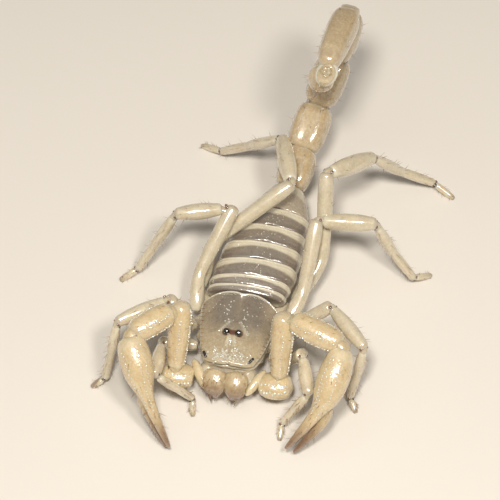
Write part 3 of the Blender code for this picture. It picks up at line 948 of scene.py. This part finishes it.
# %% [markdown]
# ## Shaping the trunk
# The plates are rounded once more than the limbs, since they are seen from near. Fine creases cross the
# flanks, the hind edge is raised a little, and four short rows of grains run beside the midline.

# %% Trunk
PLATE_SWELL = 0.05
PLATE_ROWS = ((0.16, 0.09), (0.45, 0.07))  # lean of a row to its side, size of its grains
PLATE_BEADS = []


def make_plate(number):
    node = TRUNK[number - 1]
    start, end = CHAINS["spine"][number - 1]
    piece = cast(node, node + "_shell", PLATE_SWELL, levels=3)
    share = share_between(piece, start, end)
    places = points(piece)
    across = np.abs(places[:, 0] - (start.centre.x + end.centre.x) / 2)
    upper = ramp(places[:, 2], 2.9, 3.6)
    crease = 0.02 * np.sin(share * 26) * ramp(across, 2.0, 3.4) * upper
    places[:, 2] += crease + 0.05 * ramp(share, 0.86, 0.94) * upper
    move_points(piece, places)
    brown, pale, grey = plate_stains(share, places[:, 2], across, upper, number == len(TRUNK))
    stain(piece, brown=brown, pale=pale, grey=grey)
    skin = Skin(piece, start, end)
    for way in (-1, 1):
        for lean, size in PLATE_ROWS:
            PLATE_BEADS.extend(bead_row(skin, (way * lean, 0, 1), 0.25, 0.6, 3, size, 0.04))
    SKINS[node] = skin
    dress(piece, "trunk", BACK_SHELL, node)


for number in range(1, len(TRUNK) + 1):
    make_plate(number)
dress(stain(copies("back_plate_grains", GRAIN, PLATE_BEADS), grey=0.35), "trunk", BEAD_SHELL_PAINTED_SPARKLE)
print("grains on the back plates:", len(PLATE_BEADS))

# %% [markdown]
# ## Tail
# The tail is five ridged barrels and the sting. Its shell is tan and lets light through, and each
# barrel has a pale rim at both ends. The last barrel swells at its end, so an egg is joined to it, and
# the two are melted together by a voxel remesh and smoothed: a plain join would leave a crease. The
# sting is a smooth bulb that darkens to a brown point.

# %% Barrels and sting
TAIL_SWELL = 0.05
TAIL_PUSH, TAIL_REACH = 0.08, 0.9
LOBE_AT = (0.08, -0.05, 0.15)  # from the barrel's end, in millimetres
LOBE_HALF = (1.3, 1.16, 1.1)
LOBE_VOXEL = 0.09 * MM


def make_barrel(node, start, end):
    piece = cast(node, node + "_shell", TAIL_SWELL)
    fill_end(piece, start, 0.05, TAIL_PUSH, TAIL_REACH, dome=0.3)
    if node != "tail_5":
        fill_end(piece, end, 0.0, TAIL_PUSH, TAIL_REACH, dome=0.3)
    else:
        fill_end(piece, end, 0.1, TAIL_PUSH, TAIL_REACH, dome=0.12)
        lobe = ellipsoid("tail_end_lobe", np.array(end.centre) + LOBE_AT, end.outward, *LOBE_HALF)
        piece = join(node + "_shell", [piece, lobe])
        apply_modifier(piece, "REMESH", mode="VOXEL", voxel_size=LOBE_VOXEL)
        apply_modifier(piece, "SMOOTH", factor=0.6, iterations=12)
        bpy.ops.object.shade_smooth()
    share = share_along(piece, start, end)
    SKINS[node] = Skin(piece, start, end)
    stain(piece, brown=0.14 * end_stain(share, 0.05), pale=0.15 * end_stain(share, 0.12))
    dress(piece, "tail", TAIL_SHELL, node)


TAIL_ENDS = dict(zip(TAIL, CHAINS["spine"][len(TRUNK):]))
for node in TAIL[:5]:
    make_barrel(node, *TAIL_ENDS[node])
bulb = cast("telson", "telson_shell", TAIL_SWELL)
share = share_along(bulb, *TAIL_ENDS["telson"])
SKINS["telson"] = Skin(bulb, *TAIL_ENDS["telson"])
stain(bulb, brown=0.6 * ramp(share, 0.66, 0.95), pale=0.2 * ramp(share, 0.1, 0.0))
dress(bulb, "sting", STING_SHELL, "telson")

# %% [markdown]
# ## Beads along the ridges
# Beaded ridges run the length of each barrel. Where they sit is an angle round the barrel, and the last
# one, which is seen from below, has only the two that frame it.

# %% Beads on the tail
KEEL_ANGLES = (-24, 24, 62, 118, 156, 204)  # round the barrel, 0 at its left, 90 on its back
LAST_KEELS = (-24, 204)
TAIL_BEADS = []
for node in TAIL[:5]:
    start, end = TAIL_ENDS[node]
    ahead = np.array(end.centre - start.centre)
    side_way = np.array((1.0, 0, 0))
    back_way = np.cross(side_way, ahead / np.linalg.norm(ahead))
    for angle in LAST_KEELS if node == "tail_5" else KEEL_ANGLES:
        toward = side_way * math.cos(math.radians(angle)) + back_way * math.sin(math.radians(angle))
        TAIL_BEADS.extend(bead_row(SKINS[node], toward, 0.06, 0.95, 22, 0.075, 0.02))
dress(stain(copies("tail_beads", GRAIN, TAIL_BEADS), brown=0.3), "tail", BEAD_SHELL_PAINTED_SPARKLE)
print("tail beads:", len(TAIL_BEADS))

# %% [markdown]
# ## The vent
# Under the end of the last barrel, where the sting hangs, lies the vent: a pale cup of skin, a harder plate
# on it, and a ring round four small warts. The cup's near-white is partly its own pale skin and partly a
# painted highlight. Everything is placed from one point and the way the cup faces.

# %% Vent
VENT = np.array(LAST_BARREL[1].centre) + (0.23, -1.38, -0.05)  # middle of the vent, in millimetres
FACING = Vector((0.12, -0.85, 0.5)).normalized()
OUT = np.array(FACING)
DOWN = np.array((0.0, -0.5, -0.85))
WARTS_FROM_MIDDLE = 0.26
cup = ellipsoid("vent_skin", VENT + DOWN * 0.55 - OUT * 0.3, FACING, 0.75, 1.06, 1.4)
# pale stain: partly the cup's own pale skin, partly a painted highlight in place of its white glints
dress(stain(cup, pale=0.75), "tail", TAIL_SHELL)
plate = ellipsoid("vent_plate", VENT + DOWN * 0.5 + OUT * 0.14, FACING, 0.38, 0.86, 1.18)
dress(stain(plate, pale=0.12), "tail", TAIL_SHELL)
bpy.ops.mesh.primitive_torus_add(major_segments=36, minor_segments=10,
                                 location=Vector(VENT) * MM + FACING * 0.57 * MM,
                                 rotation=FACING.to_track_quat("Z", "Y").to_euler(),
                                 major_radius=0.54 * MM, minor_radius=0.06 * MM)
ring = settle(bpy.context.object)
ring.name = "vent_ring"
bpy.ops.object.shade_smooth()
dress(stain(ring, brown=0.2), "tail", TAIL_SHELL)
side_way = np.cross(OUT, (0, 0, 1.0))
side_way /= np.linalg.norm(side_way)
up_way = np.cross(side_way, OUT)
warts = []
for angle in (45, 135, 225, 315):
    place = side_way * math.cos(math.radians(angle)) + up_way * math.sin(math.radians(angle))
    centre = VENT + place * WARTS_FROM_MIDDLE + OUT * 0.54
    warts.append(ellipsoid(f"wart_{angle}", centre, FACING, 0.09, 0.2, 0.2))
dress(stain(join("vent_warts", warts), pale=0.15, brown=0.08), "tail", TAIL_SHELL)
print("warts in the vent:", len(warts))

# %% [markdown]
# ## Head shield
# The shield is the plate that people see first. Its outline and dome, the eye hill, the ridges and the
# furrows are easiest to say as a height over the head's own axes, so they are one function here. Beads,
# side eyes and hairs later ask the same function how high the shield is under them.

# %% Height of the shield
SHIELD_LENGTH = 8.2
SHIELD_FRONT_HALF = 2.42
SHIELD_REAR_HALF = 3.9
SHIELD_RIM_HEIGHT = 3.6
SHIELD_OVER_BASES = 0.05
STREAK = ((0.46, -3.4), (1.43, -4.7))  # a pale ridge behind and beside each eye
FURROW = ((1.9, -0.8), (2.9, -2.4))
FRONT_RIDGE = ((0.5, -5.6), (0.62, -6.9))


def side_line(x, y, line, width):
    """1 on a straight line from one end to the other, on both sides of the head."""
    (x0, y0), (x1, y1) = line
    length = math.hypot(x1 - x0, y1 - y0)
    off_x, off_y = np.abs(x) - x0, y - y0
    t = (off_x * (x1 - x0) + off_y * (y1 - y0)) / length
    off = (off_x * (y1 - y0) - off_y * (x1 - x0)) / length
    return bell(off, width) * ramp(t, -0.25, 0.1) * ramp(t, length + 0.25, length - 0.1)


def shield_half(share):
    """Half the shield's width, from 0 at its front edge to 1 at its hind edge."""
    return SHIELD_FRONT_HALF + (SHIELD_REAR_HALF - SHIELD_FRONT_HALF) * np.sin(share * np.pi / 2) ** 0.75


def shield_height(x, y):
    """The shield's height over a place in the head's axes, in millimetres."""
    share = np.clip(1 + y / SHIELD_LENGTH, 0, 1)
    top = 4.2 + 0.7 * share ** 0.6
    across = np.clip(np.abs(x) / shield_half(share), 0, 1)
    dome = SHIELD_RIM_HEIGHT + (top - SHIELD_RIM_HEIGHT) * (1 - across ** 2.4) ** 0.62
    x = x - EYE_PLACE[0] * ramp(y, -3.0, -4.5)
    hill = 0.30 * bell(x, 0.78) * bell(y - EYE_PLACE[1], 0.8)
    hollow = -0.14 * bell(x, 0.2) * bell(y - EYE_PLACE[1] + 0.1, 0.75)
    ridge = 0.09 * side_line(x, y, STREAK, 0.13) + 0.07 * side_line(x, y, FRONT_RIDGE, 0.16)
    middle = -0.12 * bell(x, 0.12) * ramp(y, -7.9, -7.0) * ramp(y, -5.6, -6.0)
    rear = -0.15 * bell(x, 0.34) * ramp(y, -4.0, -2.2) * ramp(y, -0.1, -0.9)
    furrow = -0.05 * side_line(x, y, FURROW, 0.3)
    rim = 0.06 * bell(across - 0.955, 0.03) + 0.05 * bell(y + 0.12, 0.1)
    return dome + SHIELD_OVER_BASES + hill + hollow + ridge + middle + rear + furrow + rim


print("height at the eyes:", round(float(shield_height(np.array(0.0), np.array(EYE_PLACE[1]))), 2), "mm")

# %% [markdown]
# ## Head shield
# The shield starts as a fine flat grid, because its detail is small and evenly spread. The grid's
# corners are moved to the outline and the height. The hind corners are rounded forwards and the front
# corners backwards, the front edge is notched, and a trace of unevenness breaks the shine. Solidify
# gives it a wall at the end.

# %% Shape of the shield
HIND_CUT = 1.3
FRONT_CUT = 0.55
SHIELD_WALL = 0.14 * MM
UNEVENNESS = 0.007
bpy.ops.mesh.primitive_grid_add(x_subdivisions=120, y_subdivisions=150, size=2)
shield = settle(bpy.context.object)
shield.name = "head_shield"
flat = points(shield) * MM  # the grid runs from -1 to 1 both ways
edge, share = np.abs(flat[:, 0]), (flat[:, 1] + 1) / 2
x = flat[:, 0] * shield_half(share) * (1 - 0.04 * ramp(share, 0.965, 1.0))
y = -SHIELD_LENGTH * (1 - share)
z = shield_height(x, y) - 0.16 * ramp(share, 0.03, 0.0)
cleft = 0.12 * bell(x, 0.22) * ramp(share, 0.05, 0.0)
dip = 0.14 * bell(x, 0.5) * ramp(share, 0.9, 1.0)
bend = HIND_CUT * edge ** 3 * ramp(share, 0.45, 1.0) - FRONT_CUT * edge ** 4 * ramp(share, 0.3, 0.0)
z += RANDOM.normal(0, 1, len(x)) * UNEVENNESS
move_points(shield, head_axes(x, y + cleft - dip - bend, z))
print("head shield corners:", len(shield.data.vertices))

# %% [markdown]
# ## Colours of the shield
# The hind half is smoky grey, the front tan, the rim and two streaks beside the eyes pale. Just in front of
# the eyes two pale spots are a painted highlight, in place of the lamps' glare. The eyes stand in one dark
# red-brown patch, fine brown rays run over the flanks, and a darker line along each side furrow is painted
# shade. As before, these are stains on the corners.

# %% Stains of the shield
smoke = 0.74 * ramp(y, -5.9, -3.0) * (1 - 0.55 * ramp(np.abs(x), 1.8, 3.2)) * (1 - 0.2 * bell(x, 0.35))
rim_pale = np.maximum(ramp(edge, 0.955, 0.985), ramp(y, -0.24, -0.12)) * 0.85
streaks = 0.2 * side_line(x - EYE_PLACE[0], y, STREAK, 0.16)
# painted highlight: two pale spots just in front of the eyes stand in for the lamps' glare
painted_glare = 0.35 * bell(np.abs(x - EYE_PLACE[0]) - 0.3, 0.13) * bell(y + 5.75, 0.35)
rays = 0.10 * np.clip(np.sin((y + 0.9 * np.abs(x)) * 17), 0, 1)
rays *= ramp(np.abs(x), 1.2, 2.2) * ramp(y, -7.0, -6.2)
off_x, off_y = x - EYE_PLACE[0], y - EYE_PLACE[1] - 0.1
eye_dark = ramp(np.minimum(np.hypot(off_x - 0.6, off_y), np.hypot(off_x + 0.6, off_y)), 0.50, 0.36)
eye_dark = np.maximum(eye_dark, ramp(np.abs(off_x), 0.7, 0.5) * ramp(np.abs(off_y), 0.36, 0.2))
# painted shade: a darker brown line along each side furrow, where shade would lie
furrow_shade = 0.12 * side_line(x, y, ((2.2, -0.9), (3.2, -2.6)), 0.3)
pale = (rim_pale + streaks + painted_glare + 0.12 * ramp(y, -6.6, -7.6)) * (1 - eye_dark)
brown = 0.05 + 0.9 * eye_dark + rays + furrow_shade
stain(shield, brown=brown, pale=pale, grey=smoke * (1 - rim_pale))
apply_modifier(shield, "SOLIDIFY", thickness=SHIELD_WALL, offset=-1)
bpy.ops.object.shade_smooth()
dress(shield, "shield", HEAD_SHELL)
print("head shield corners with its wall:", len(shield.data.vertices))

# %% [markdown]
# ## Grains on the shield
# The shield is strewn with shiny grains: a dense patch between the small side eyes, two loose clusters
# behind the eye hill, and rows along the pale ridges and the hind edge. They catch the light as white
# sparks, and their finish is paler than the shield, partly a painted highlight. Each grain's place is drawn
# by chance round a middle, with a fixed seed, so the animal is the same every time.

# %% Grains on the shield
GRAIN_LIFT = 0.01
GRAINS = []


def on_shield(x, y, lift):
    """The place on the shield, or this far over it, at these axes of the head."""
    return head_axes(x, y, shield_height(x, y) + lift)


def strew(count, middle_x, middle_y, wide, deep, size):
    """Grains strewn round a place on both sides of the head's midline."""
    for _ in range(count):
        for way in (-1, 1):
            x = np.array(way * abs(middle_x + RANDOM.normal(0, wide)) + 0.4 * EYE_PLACE[0])
            y = np.array(middle_y + RANDOM.normal(0, deep))
            GRAINS.append(grain(on_shield(x, y, GRAIN_LIFT), size * RANDOM.uniform(0.6, 1.2)))


def strew_line(line, count, size):
    """A row of grains along a line, on both sides."""
    (x0, y0), (x1, y1) = line
    for t in np.linspace(0, 1, count):
        for way in (-1, 1):
            x = np.array(way * (x0 + (x1 - x0) * t) + RANDOM.normal(0, 0.05))
            y = np.array(y0 + (y1 - y0) * t + RANDOM.normal(0, 0.05))
            GRAINS.append(grain(on_shield(x, y, GRAIN_LIFT), size * RANDOM.uniform(0.7, 1.2)))


strew(64, 0.85, -7.25, 0.6, 0.36, 0.115)
strew(9, 0.8, -2.5, 0.25, 0.75, 0.09)
strew(7, 1.6, -2.3, 0.4, 0.6, 0.07)
strew(8, 0.3, -5.85, 0.12, 0.25, 0.08)
strew_line(STREAK, 8, 0.075)
strew_line(FURROW, 5, 0.06)
strew_line(((0.25, -0.28), (2.2, -0.5)), 14, 0.055)
dress(copies("head_shield_grains", GRAIN, GRAINS), "shield", BEAD_SHELL_PAINTED_SPARKLE)
print("grains on the shield:", len(GRAINS))

# %% [markdown]
# ## Eyes
# The two middle eyes are black and wet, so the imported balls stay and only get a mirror-like finish. A
# low lens lies on each of them, towards the light, which is flatter than the ball and so gives a larger
# glint. Near each front corner of the shield lies a slanting row of much smaller side eyes, so close
# that they touch.

# %% Eyes
EYE_BLACK, _, eye_shader = new_finish("eye_black")
set_inputs(eye_shader, {
    "Base Color": (0.004, 0.003, 0.003, 1), "Roughness": 0.16, "IOR": 1.5, "Coat Weight": 1.0,
    "Coat IOR": 1.8,
})
LENS_OUT = 0.295  # from the eye's middle to the lens's, in millimetres
SIDE_EYES_FROM, SIDE_EYES_TO = (2.42, -7.05), (2.16, -7.53)
for side, middle, turn in (("right", right_eye, -14), ("left", left_eye, 17)):
    eye = frame["nodes"][f"eye_{side}"]
    eye.data.materials.clear()
    eye.data.materials.append(EYE_BLACK)
    look = way_out(turn, 60)
    centre = np.array(middle) / MM + np.array(look) * LENS_OUT
    dress(ellipsoid(f"eye_lens_{side}", centre, look, 0.06, 0.22, 0.22), "eye", EYE_BLACK)
side_eyes = []
(x0, y0), (x1, y1) = SIDE_EYES_FROM, SIDE_EYES_TO
for way in (-1, 1):
    for t in (0.0, 0.25, 0.5, 0.75, 1.0):
        x, y = np.array(way * (x0 + (x1 - x0) * t) - 0.12), np.array(y0 + (y1 - y0) * t)
        centre = on_shield(x, y, -0.02)
        side_eyes.append(ellipsoid(f"side_eye_{way}_{t}", centre, (0, 0, 1), 0.13, 0.15, 0.15))
dress(join("side_eyes", side_eyes), "eye", EYE_BLACK)
print("eyes: 2 in the middle and", len(side_eyes), "at the sides")

# %% [markdown]
# ## Jaws
# Two short jaws bulge from under the shield. Each is a small hand of its own, blunt in front, which
# darkens towards two red-brown fangs: a long one on its outer side and a short one inside. The packed
# jaws are narrower than the mouth, so the copies are widened, more on their outer side, and their tops
# are flattened.

# %% Jaws
JAW_SWELL = 0.065
JAW_TO_MIDLINE = 0.12
JAW_WIDER, JAW_BLUNT = 1.2, 0.3
FANGS = ((0.55, 0.5, 0.7, 0.3), (-0.3, 0.4, 0.45, 0.24))  # outwards, root behind the tip, reach, thickness
pincers = []


def widen_jaw(jaw, way, share):
    places = points(jaw)
    middle = places[:, 0].mean()
    off = places[:, 0] - middle
    wider = JAW_WIDER + JAW_BLUNT * ramp(share, 0.5, 0.8) * ramp(off * way, 0.0, 0.3)
    places[:, 0] = middle - way * JAW_TO_MIDLINE + off * wider
    places[:, 2] -= 0.12 * ramp(places[:, 2] - places[:, 2].mean(), 0.5, 1.2)
    move_points(jaw, places)


for side, way in (("right", -1), ("left", 1)):
    node = f"chelicera_{side}"
    jaw = cast(node, node + "_shell", JAW_SWELL)
    start, end = wide_end_first(node)
    share = share_along(jaw, start, end)
    widen_jaw(jaw, way, share)
    stain(jaw, brown=0.06 + 0.35 * ramp(share, 0.25, 0.6) + 0.5 * ramp(share, 0.6, 0.9))
    SKINS[node] = Skin(jaw, start, end)
    dress(jaw, "jaw", JAW_SHELL, node)
    tip, ahead = np.array(end.centre), np.array(end.centre - start.centre)
    ahead /= np.linalg.norm(ahead)
    across = head_way(way, 0.0, 0.0)
    for outer, behind, reach, thick in FANGS:
        root = tip - ahead * behind + across * outer + (0, 0, 0.25)
        goal = tip + ahead * reach + across * outer * 0.3 - (0, 0, 0.1)
        pincers.append(spike_to(root, goal, thick))
dress(stain(copies("jaw_fingers", SPIKE, pincers), brown=0.8), "jaw", JAW_SHELL)
print("jaws dressed, with", len(pincers), "fangs")

# %% [markdown]
# ## Beside the jaws
# On both sides of the mouth lie the pale lobes of the pincer arms' bases, like two slanting bars, and
# by each of them a dark knob. Both are plain eggs, stretched between two places given in the head's
# axes.

# %% Lobes and knobs
LOBE_HALF_WIDTH, LOBE_HALF_DEPTH = 0.5, 0.62
for side, way in (("right", -1), ("left", 1)):
    lobe_from = head_axes(way * 3.6, -7.2, 2.7)
    lobe_to = head_axes(way * 1.95 + 0.2, -9.95, 1.95)
    length = lobe_to - lobe_from
    bar = ellipsoid(f"lobe_{side}", (lobe_from + lobe_to) / 2, length, np.linalg.norm(length) / 2,
                    LOBE_HALF_WIDTH, LOBE_HALF_DEPTH)
    dress(stain(bar, pale=0.15), "jaw", PALP_SHELL)
    knob = ellipsoid(f"jaw_knob_{side}", head_axes(way * 1.55, -8.78, 3.62), (0, 0, 1), 0.12, 0.13, 0.13)
    dress(stain(knob, brown=0.85), "jaw", JAW_SHELL)
print("lobe length:", round(float(np.linalg.norm(length)), 2), "mm")

# %% [markdown]
# ## Bases of the limbs
# Under the shield lie the breast plate and the bases of the legs. The imported head already has them as one
# body, so a copy of it is enough once a voxel remesh and a smoothing have softened its facets. Its upper
# side is lowered so that it stays under the shield. A brown stain over it is painted shade, for the shadow
# under the shield.

# %% Limb bases
BASES_VOXEL = 0.12 * MM
BASES_LOWERED = 0.55
bases = bare_copy("prosoma", "limb_bases")
apply_modifier(bases, "REMESH", mode="VOXEL", voxel_size=BASES_VOXEL)
apply_modifier(bases, "SMOOTH", factor=0.5, iterations=4)
places = points(bases)
places[:, 2] -= BASES_LOWERED * ramp(places[:, 2], 2.9, 3.7)
move_points(bases, places)
bpy.ops.object.shade_smooth()
# painted shade: brown over the bases, which lie in the shadow under the shield
stain(bases, brown=0.16)
dress(bases, "shield", LEG_SHELL, "prosoma")
print("limb bases corners:", len(bases.data.vertices))

# %% [markdown]
# ## The underside
# Behind the breast plate hang two combs, with which a scorpion feels the ground, and in front of them
# lies the small double lid over the birth opening. Each belly plate has a pair of dark breathing slits.
# None of it shows from above, so the forms are plain: eggs for the combs' spines and the lid, grains
# drawn long for the teeth of the combs and drawn wide for the slits.

# %% Combs, lid and slits
TEETH_OF_A_COMB = 18
comb_teeth = []
comb_pieces = []
for way in (-1, 1):
    inner, outer = head_axes(way * 0.45, 1.0, 0.85), head_axes(way * 3.3, 2.3, 0.85)
    comb_pieces.append(ellipsoid(f"comb_{way}", (inner + outer) / 2, outer - inner, 1.62, 0.22, 0.16))
    lid_at = head_axes(way * 0.36, 0.55, 1.06)
    comb_pieces.append(ellipsoid(f"lid_{way}", lid_at, (0, 0, 1), 0.12, 0.34, 0.4))
    back = head_way(way * 0.12, 1.0, 0.0)
    for t in np.linspace(0.04, 0.98, TEETH_OF_A_COMB):
        root = inner + (outer - inner) * t
        comb_teeth.append((root + back * 0.35, axes_for(back, 0.42, 0.09)))
dress(join("combs", comb_pieces), "trunk", SOFT_SKIN)
dress(stain(copies("comb_teeth", GRAIN, comb_teeth), pale=0.4), "trunk", SOFT_SKIN)
slits = []
for number in (3, 4, 5, 6):
    low, high = (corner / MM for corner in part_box(TRUNK[number - 1]))
    for way in (-1, 1):
        place = ((low.x + high.x) / 2 + way * 2.1, (low.y + high.y) / 2, low.z + 0.05)
        slits.append((place, axes_for((0, 0, 1), 0.05, 0.34, 0.12)))
dress(stain(copies("breathing_slits", GRAIN, slits), brown=0.9), "trunk", BACK_SHELL)
print("comb teeth:", len(comb_teeth), "slits:", len(slits))

# %% [markdown]
# ## Hairs
# Stiff hairs stand all over the limbs, most of them on the feet, the pincers and the sting. Each is a
# thin spike that leans towards the tip of its limb. A hair that would leave the animal's own box or
# reach the floor is left out. They are a solid mesh, like the beads, because particles would be lost in
# the export.

# %% A hair and its finish
HAIR_WIDTH = 0.026
FLOOR_GAP = 0.1
HAIR, hair_tree, hair_shader = new_finish("hair")
hair_place = hair_tree.nodes.new("ShaderNodeTexCoord").outputs["Object"]
hair_shade = remap(hair_tree, noise(hair_tree, hair_place, 2.0), 0.4, 0.6)
hair_colour = mix_colour(hair_tree, hair_shade, (0.42, 0.27, 0.13), (0.20, 0.10, 0.045))
hair_tree.links.new(hair_colour, hair_shader.inputs["Base Color"])
hair_shader.inputs["Roughness"].default_value = 0.4


def grow(skin, count, length, lean=0.7, width=HAIR_WIDTH):
    """Hairs all round a piece. lean is how far they bend over towards its end."""
    low, high = (np.array(corner) / MM for corner in CAD_BOX)
    grown = []
    for _ in range(count):
        share = RANDOM.uniform(0.08, 0.93)
        place, normal = skin.spot(share, RANDOM.normal(0, 1, 3))
        long = length * RANDOM.uniform(0.6, 1.3)
        if place is None:
            continue
        way = normal + lean * skin.forward(share) + RANDOM.normal(0, 0.18, 3)
        way /= np.linalg.norm(way)
        tip = place + way * long
        if (tip > low).all() and (tip < high).all() and tip[2] > FLOOR_GAP:
            grown.append((place - way * 0.03, axes_for(way, long, width)))
    return grown


print("a hair is", HAIR_WIDTH, "mm thick at its root on each side")

# %% [markdown]
# ## The coats
# Each part of the animal gets its own coat, kept as one piece. How many hairs a segment has and how
# long they are stands in a table: a bristly foot and hand, a nearly bare trunk, and a fringe along the
# edge of the shield that is drawn by its own rule.

# %% Coats of hair
LEG_HAIRS = (("femur", 10, 0.6), ("patella", 14, 0.6), ("tibia", 34, 0.7), ("tarsus", 22, 0.4))
PALP_HAIRS = (("trochanter", 10, 0.7), ("femur", 22, 0.9), ("patella", 22, 0.8), ("hand", 50, 0.8),
              ("finger", 24, 0.6))
coats = {slot: [] for slot in ("leg", "pincer_arm", "tail", "sting", "trunk", "shield", "jaw")}
for side in SIDES:
    for leg in (1, 2, 3, 4):
        for part, count, length in LEG_HAIRS:
            coats["leg"] += grow(SKINS[f"leg_{leg}_{side}_{part}"], count, length)
    for part, count, length in PALP_HAIRS:
        coats["pincer_arm"] += grow(SKINS[f"palp_{side}_{part}"], count, length)
for node in TAIL[:5]:
    coats["tail"] += grow(SKINS[node], 14, 0.7, 0.3)
coats["sting"] += grow(SKINS["telson"], 46, 0.7, 0.3)
for node in TRUNK:
    coats["trunk"] += grow(SKINS[node], 12, 0.35, 0.8, 0.015)
for y in np.linspace(-7.2, -1.6, 13):
    for way in (-1, 1):
        x = np.array(way * float(shield_half(1 + y / SHIELD_LENGTH)) * 0.9)
        out = head_way(way * 0.8, -0.35, 0.2)
        coats["shield"].append((on_shield(x, y, 0.0), axes_for(out, RANDOM.uniform(0.8, 1.5), 0.028)))
for side in SIDES:
    coats["jaw"] += grow(SKINS[f"chelicera_{side}"], 60, 0.6, 1.2)
for slot, placed in coats.items():
    dress(copies(slot + "_hairs", SPIKE, placed), slot, HAIR)
print("hairs:", {slot: len(placed) for slot, placed in coats.items()})

# %% [markdown]
# ## The floor
# A museum model stands on a plain pale board. It only catches the shadows, so it is part of the stage
# and not of the animal.

# %% Floor
FLOOR_SIZE = 1.2
bpy.ops.mesh.primitive_grid_add(x_subdivisions=8, y_subdivisions=8, size=FLOOR_SIZE)
floor = bpy.context.object
floor.name = "floor"
floor_paint, _, floor_shader = new_finish("floor_paint")
set_inputs(floor_shader, {"Base Color": (0.70, 0.66, 0.60, 1), "Roughness": 0.8})
floor.data.materials.append(floor_paint)
floor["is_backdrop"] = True
print("the floor is", FLOOR_SIZE, "m wide")

# %% [markdown]
# ## The light
# A large soft lamp from above and the animal's right fills the shadows. Two small ones in front give
# the wet double glints on the shell: the smaller a lamp, the sharper its reflection. All three are
# slightly warm.

# %% Lights
LAMP_COLOUR = (1.0, 0.95, 0.88)
LAMPS = (  # name, turn, rise, distance and size in metres, power
    ("soft_sky", -60, 70, 0.35, 0.30, 0.10),
    ("glint_left", 10, 64, 0.25, 0.04, 0.46),
    ("glint_right", 46, 60, 0.25, 0.04, 0.26),
)
for name, turn, rise, distance, size, power in LAMPS:
    lamp = bpy.data.lights.new(name, "AREA")
    lamp.shape = "DISK"
    lamp.size = size
    lamp.energy = power
    lamp.color = LAMP_COLOUR
    holder = bpy.data.objects.new(name, lamp)
    bpy.context.scene.collection.objects.link(holder)
    away = way_out(turn, rise)
    holder.location = aim + away * distance
    holder.rotation_euler = away.to_track_quat("Z", "Y").to_euler()
world = bpy.data.worlds.new("studio")
bpy.context.scene.world = world
world.use_nodes = True
set_inputs(world.node_tree.nodes["Background"], {"Color": (1.0, 0.97, 0.93, 1), "Strength": 0.2})
bpy.context.scene.view_settings.view_transform = "Standard"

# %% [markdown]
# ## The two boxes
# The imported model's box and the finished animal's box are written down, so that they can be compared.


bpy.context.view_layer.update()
for name, box in (("packed", CAD_BOX), ("finished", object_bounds())):
    print(name, "box in mm:", [[round(v / MM, 2) for v in corner] for corner in box])
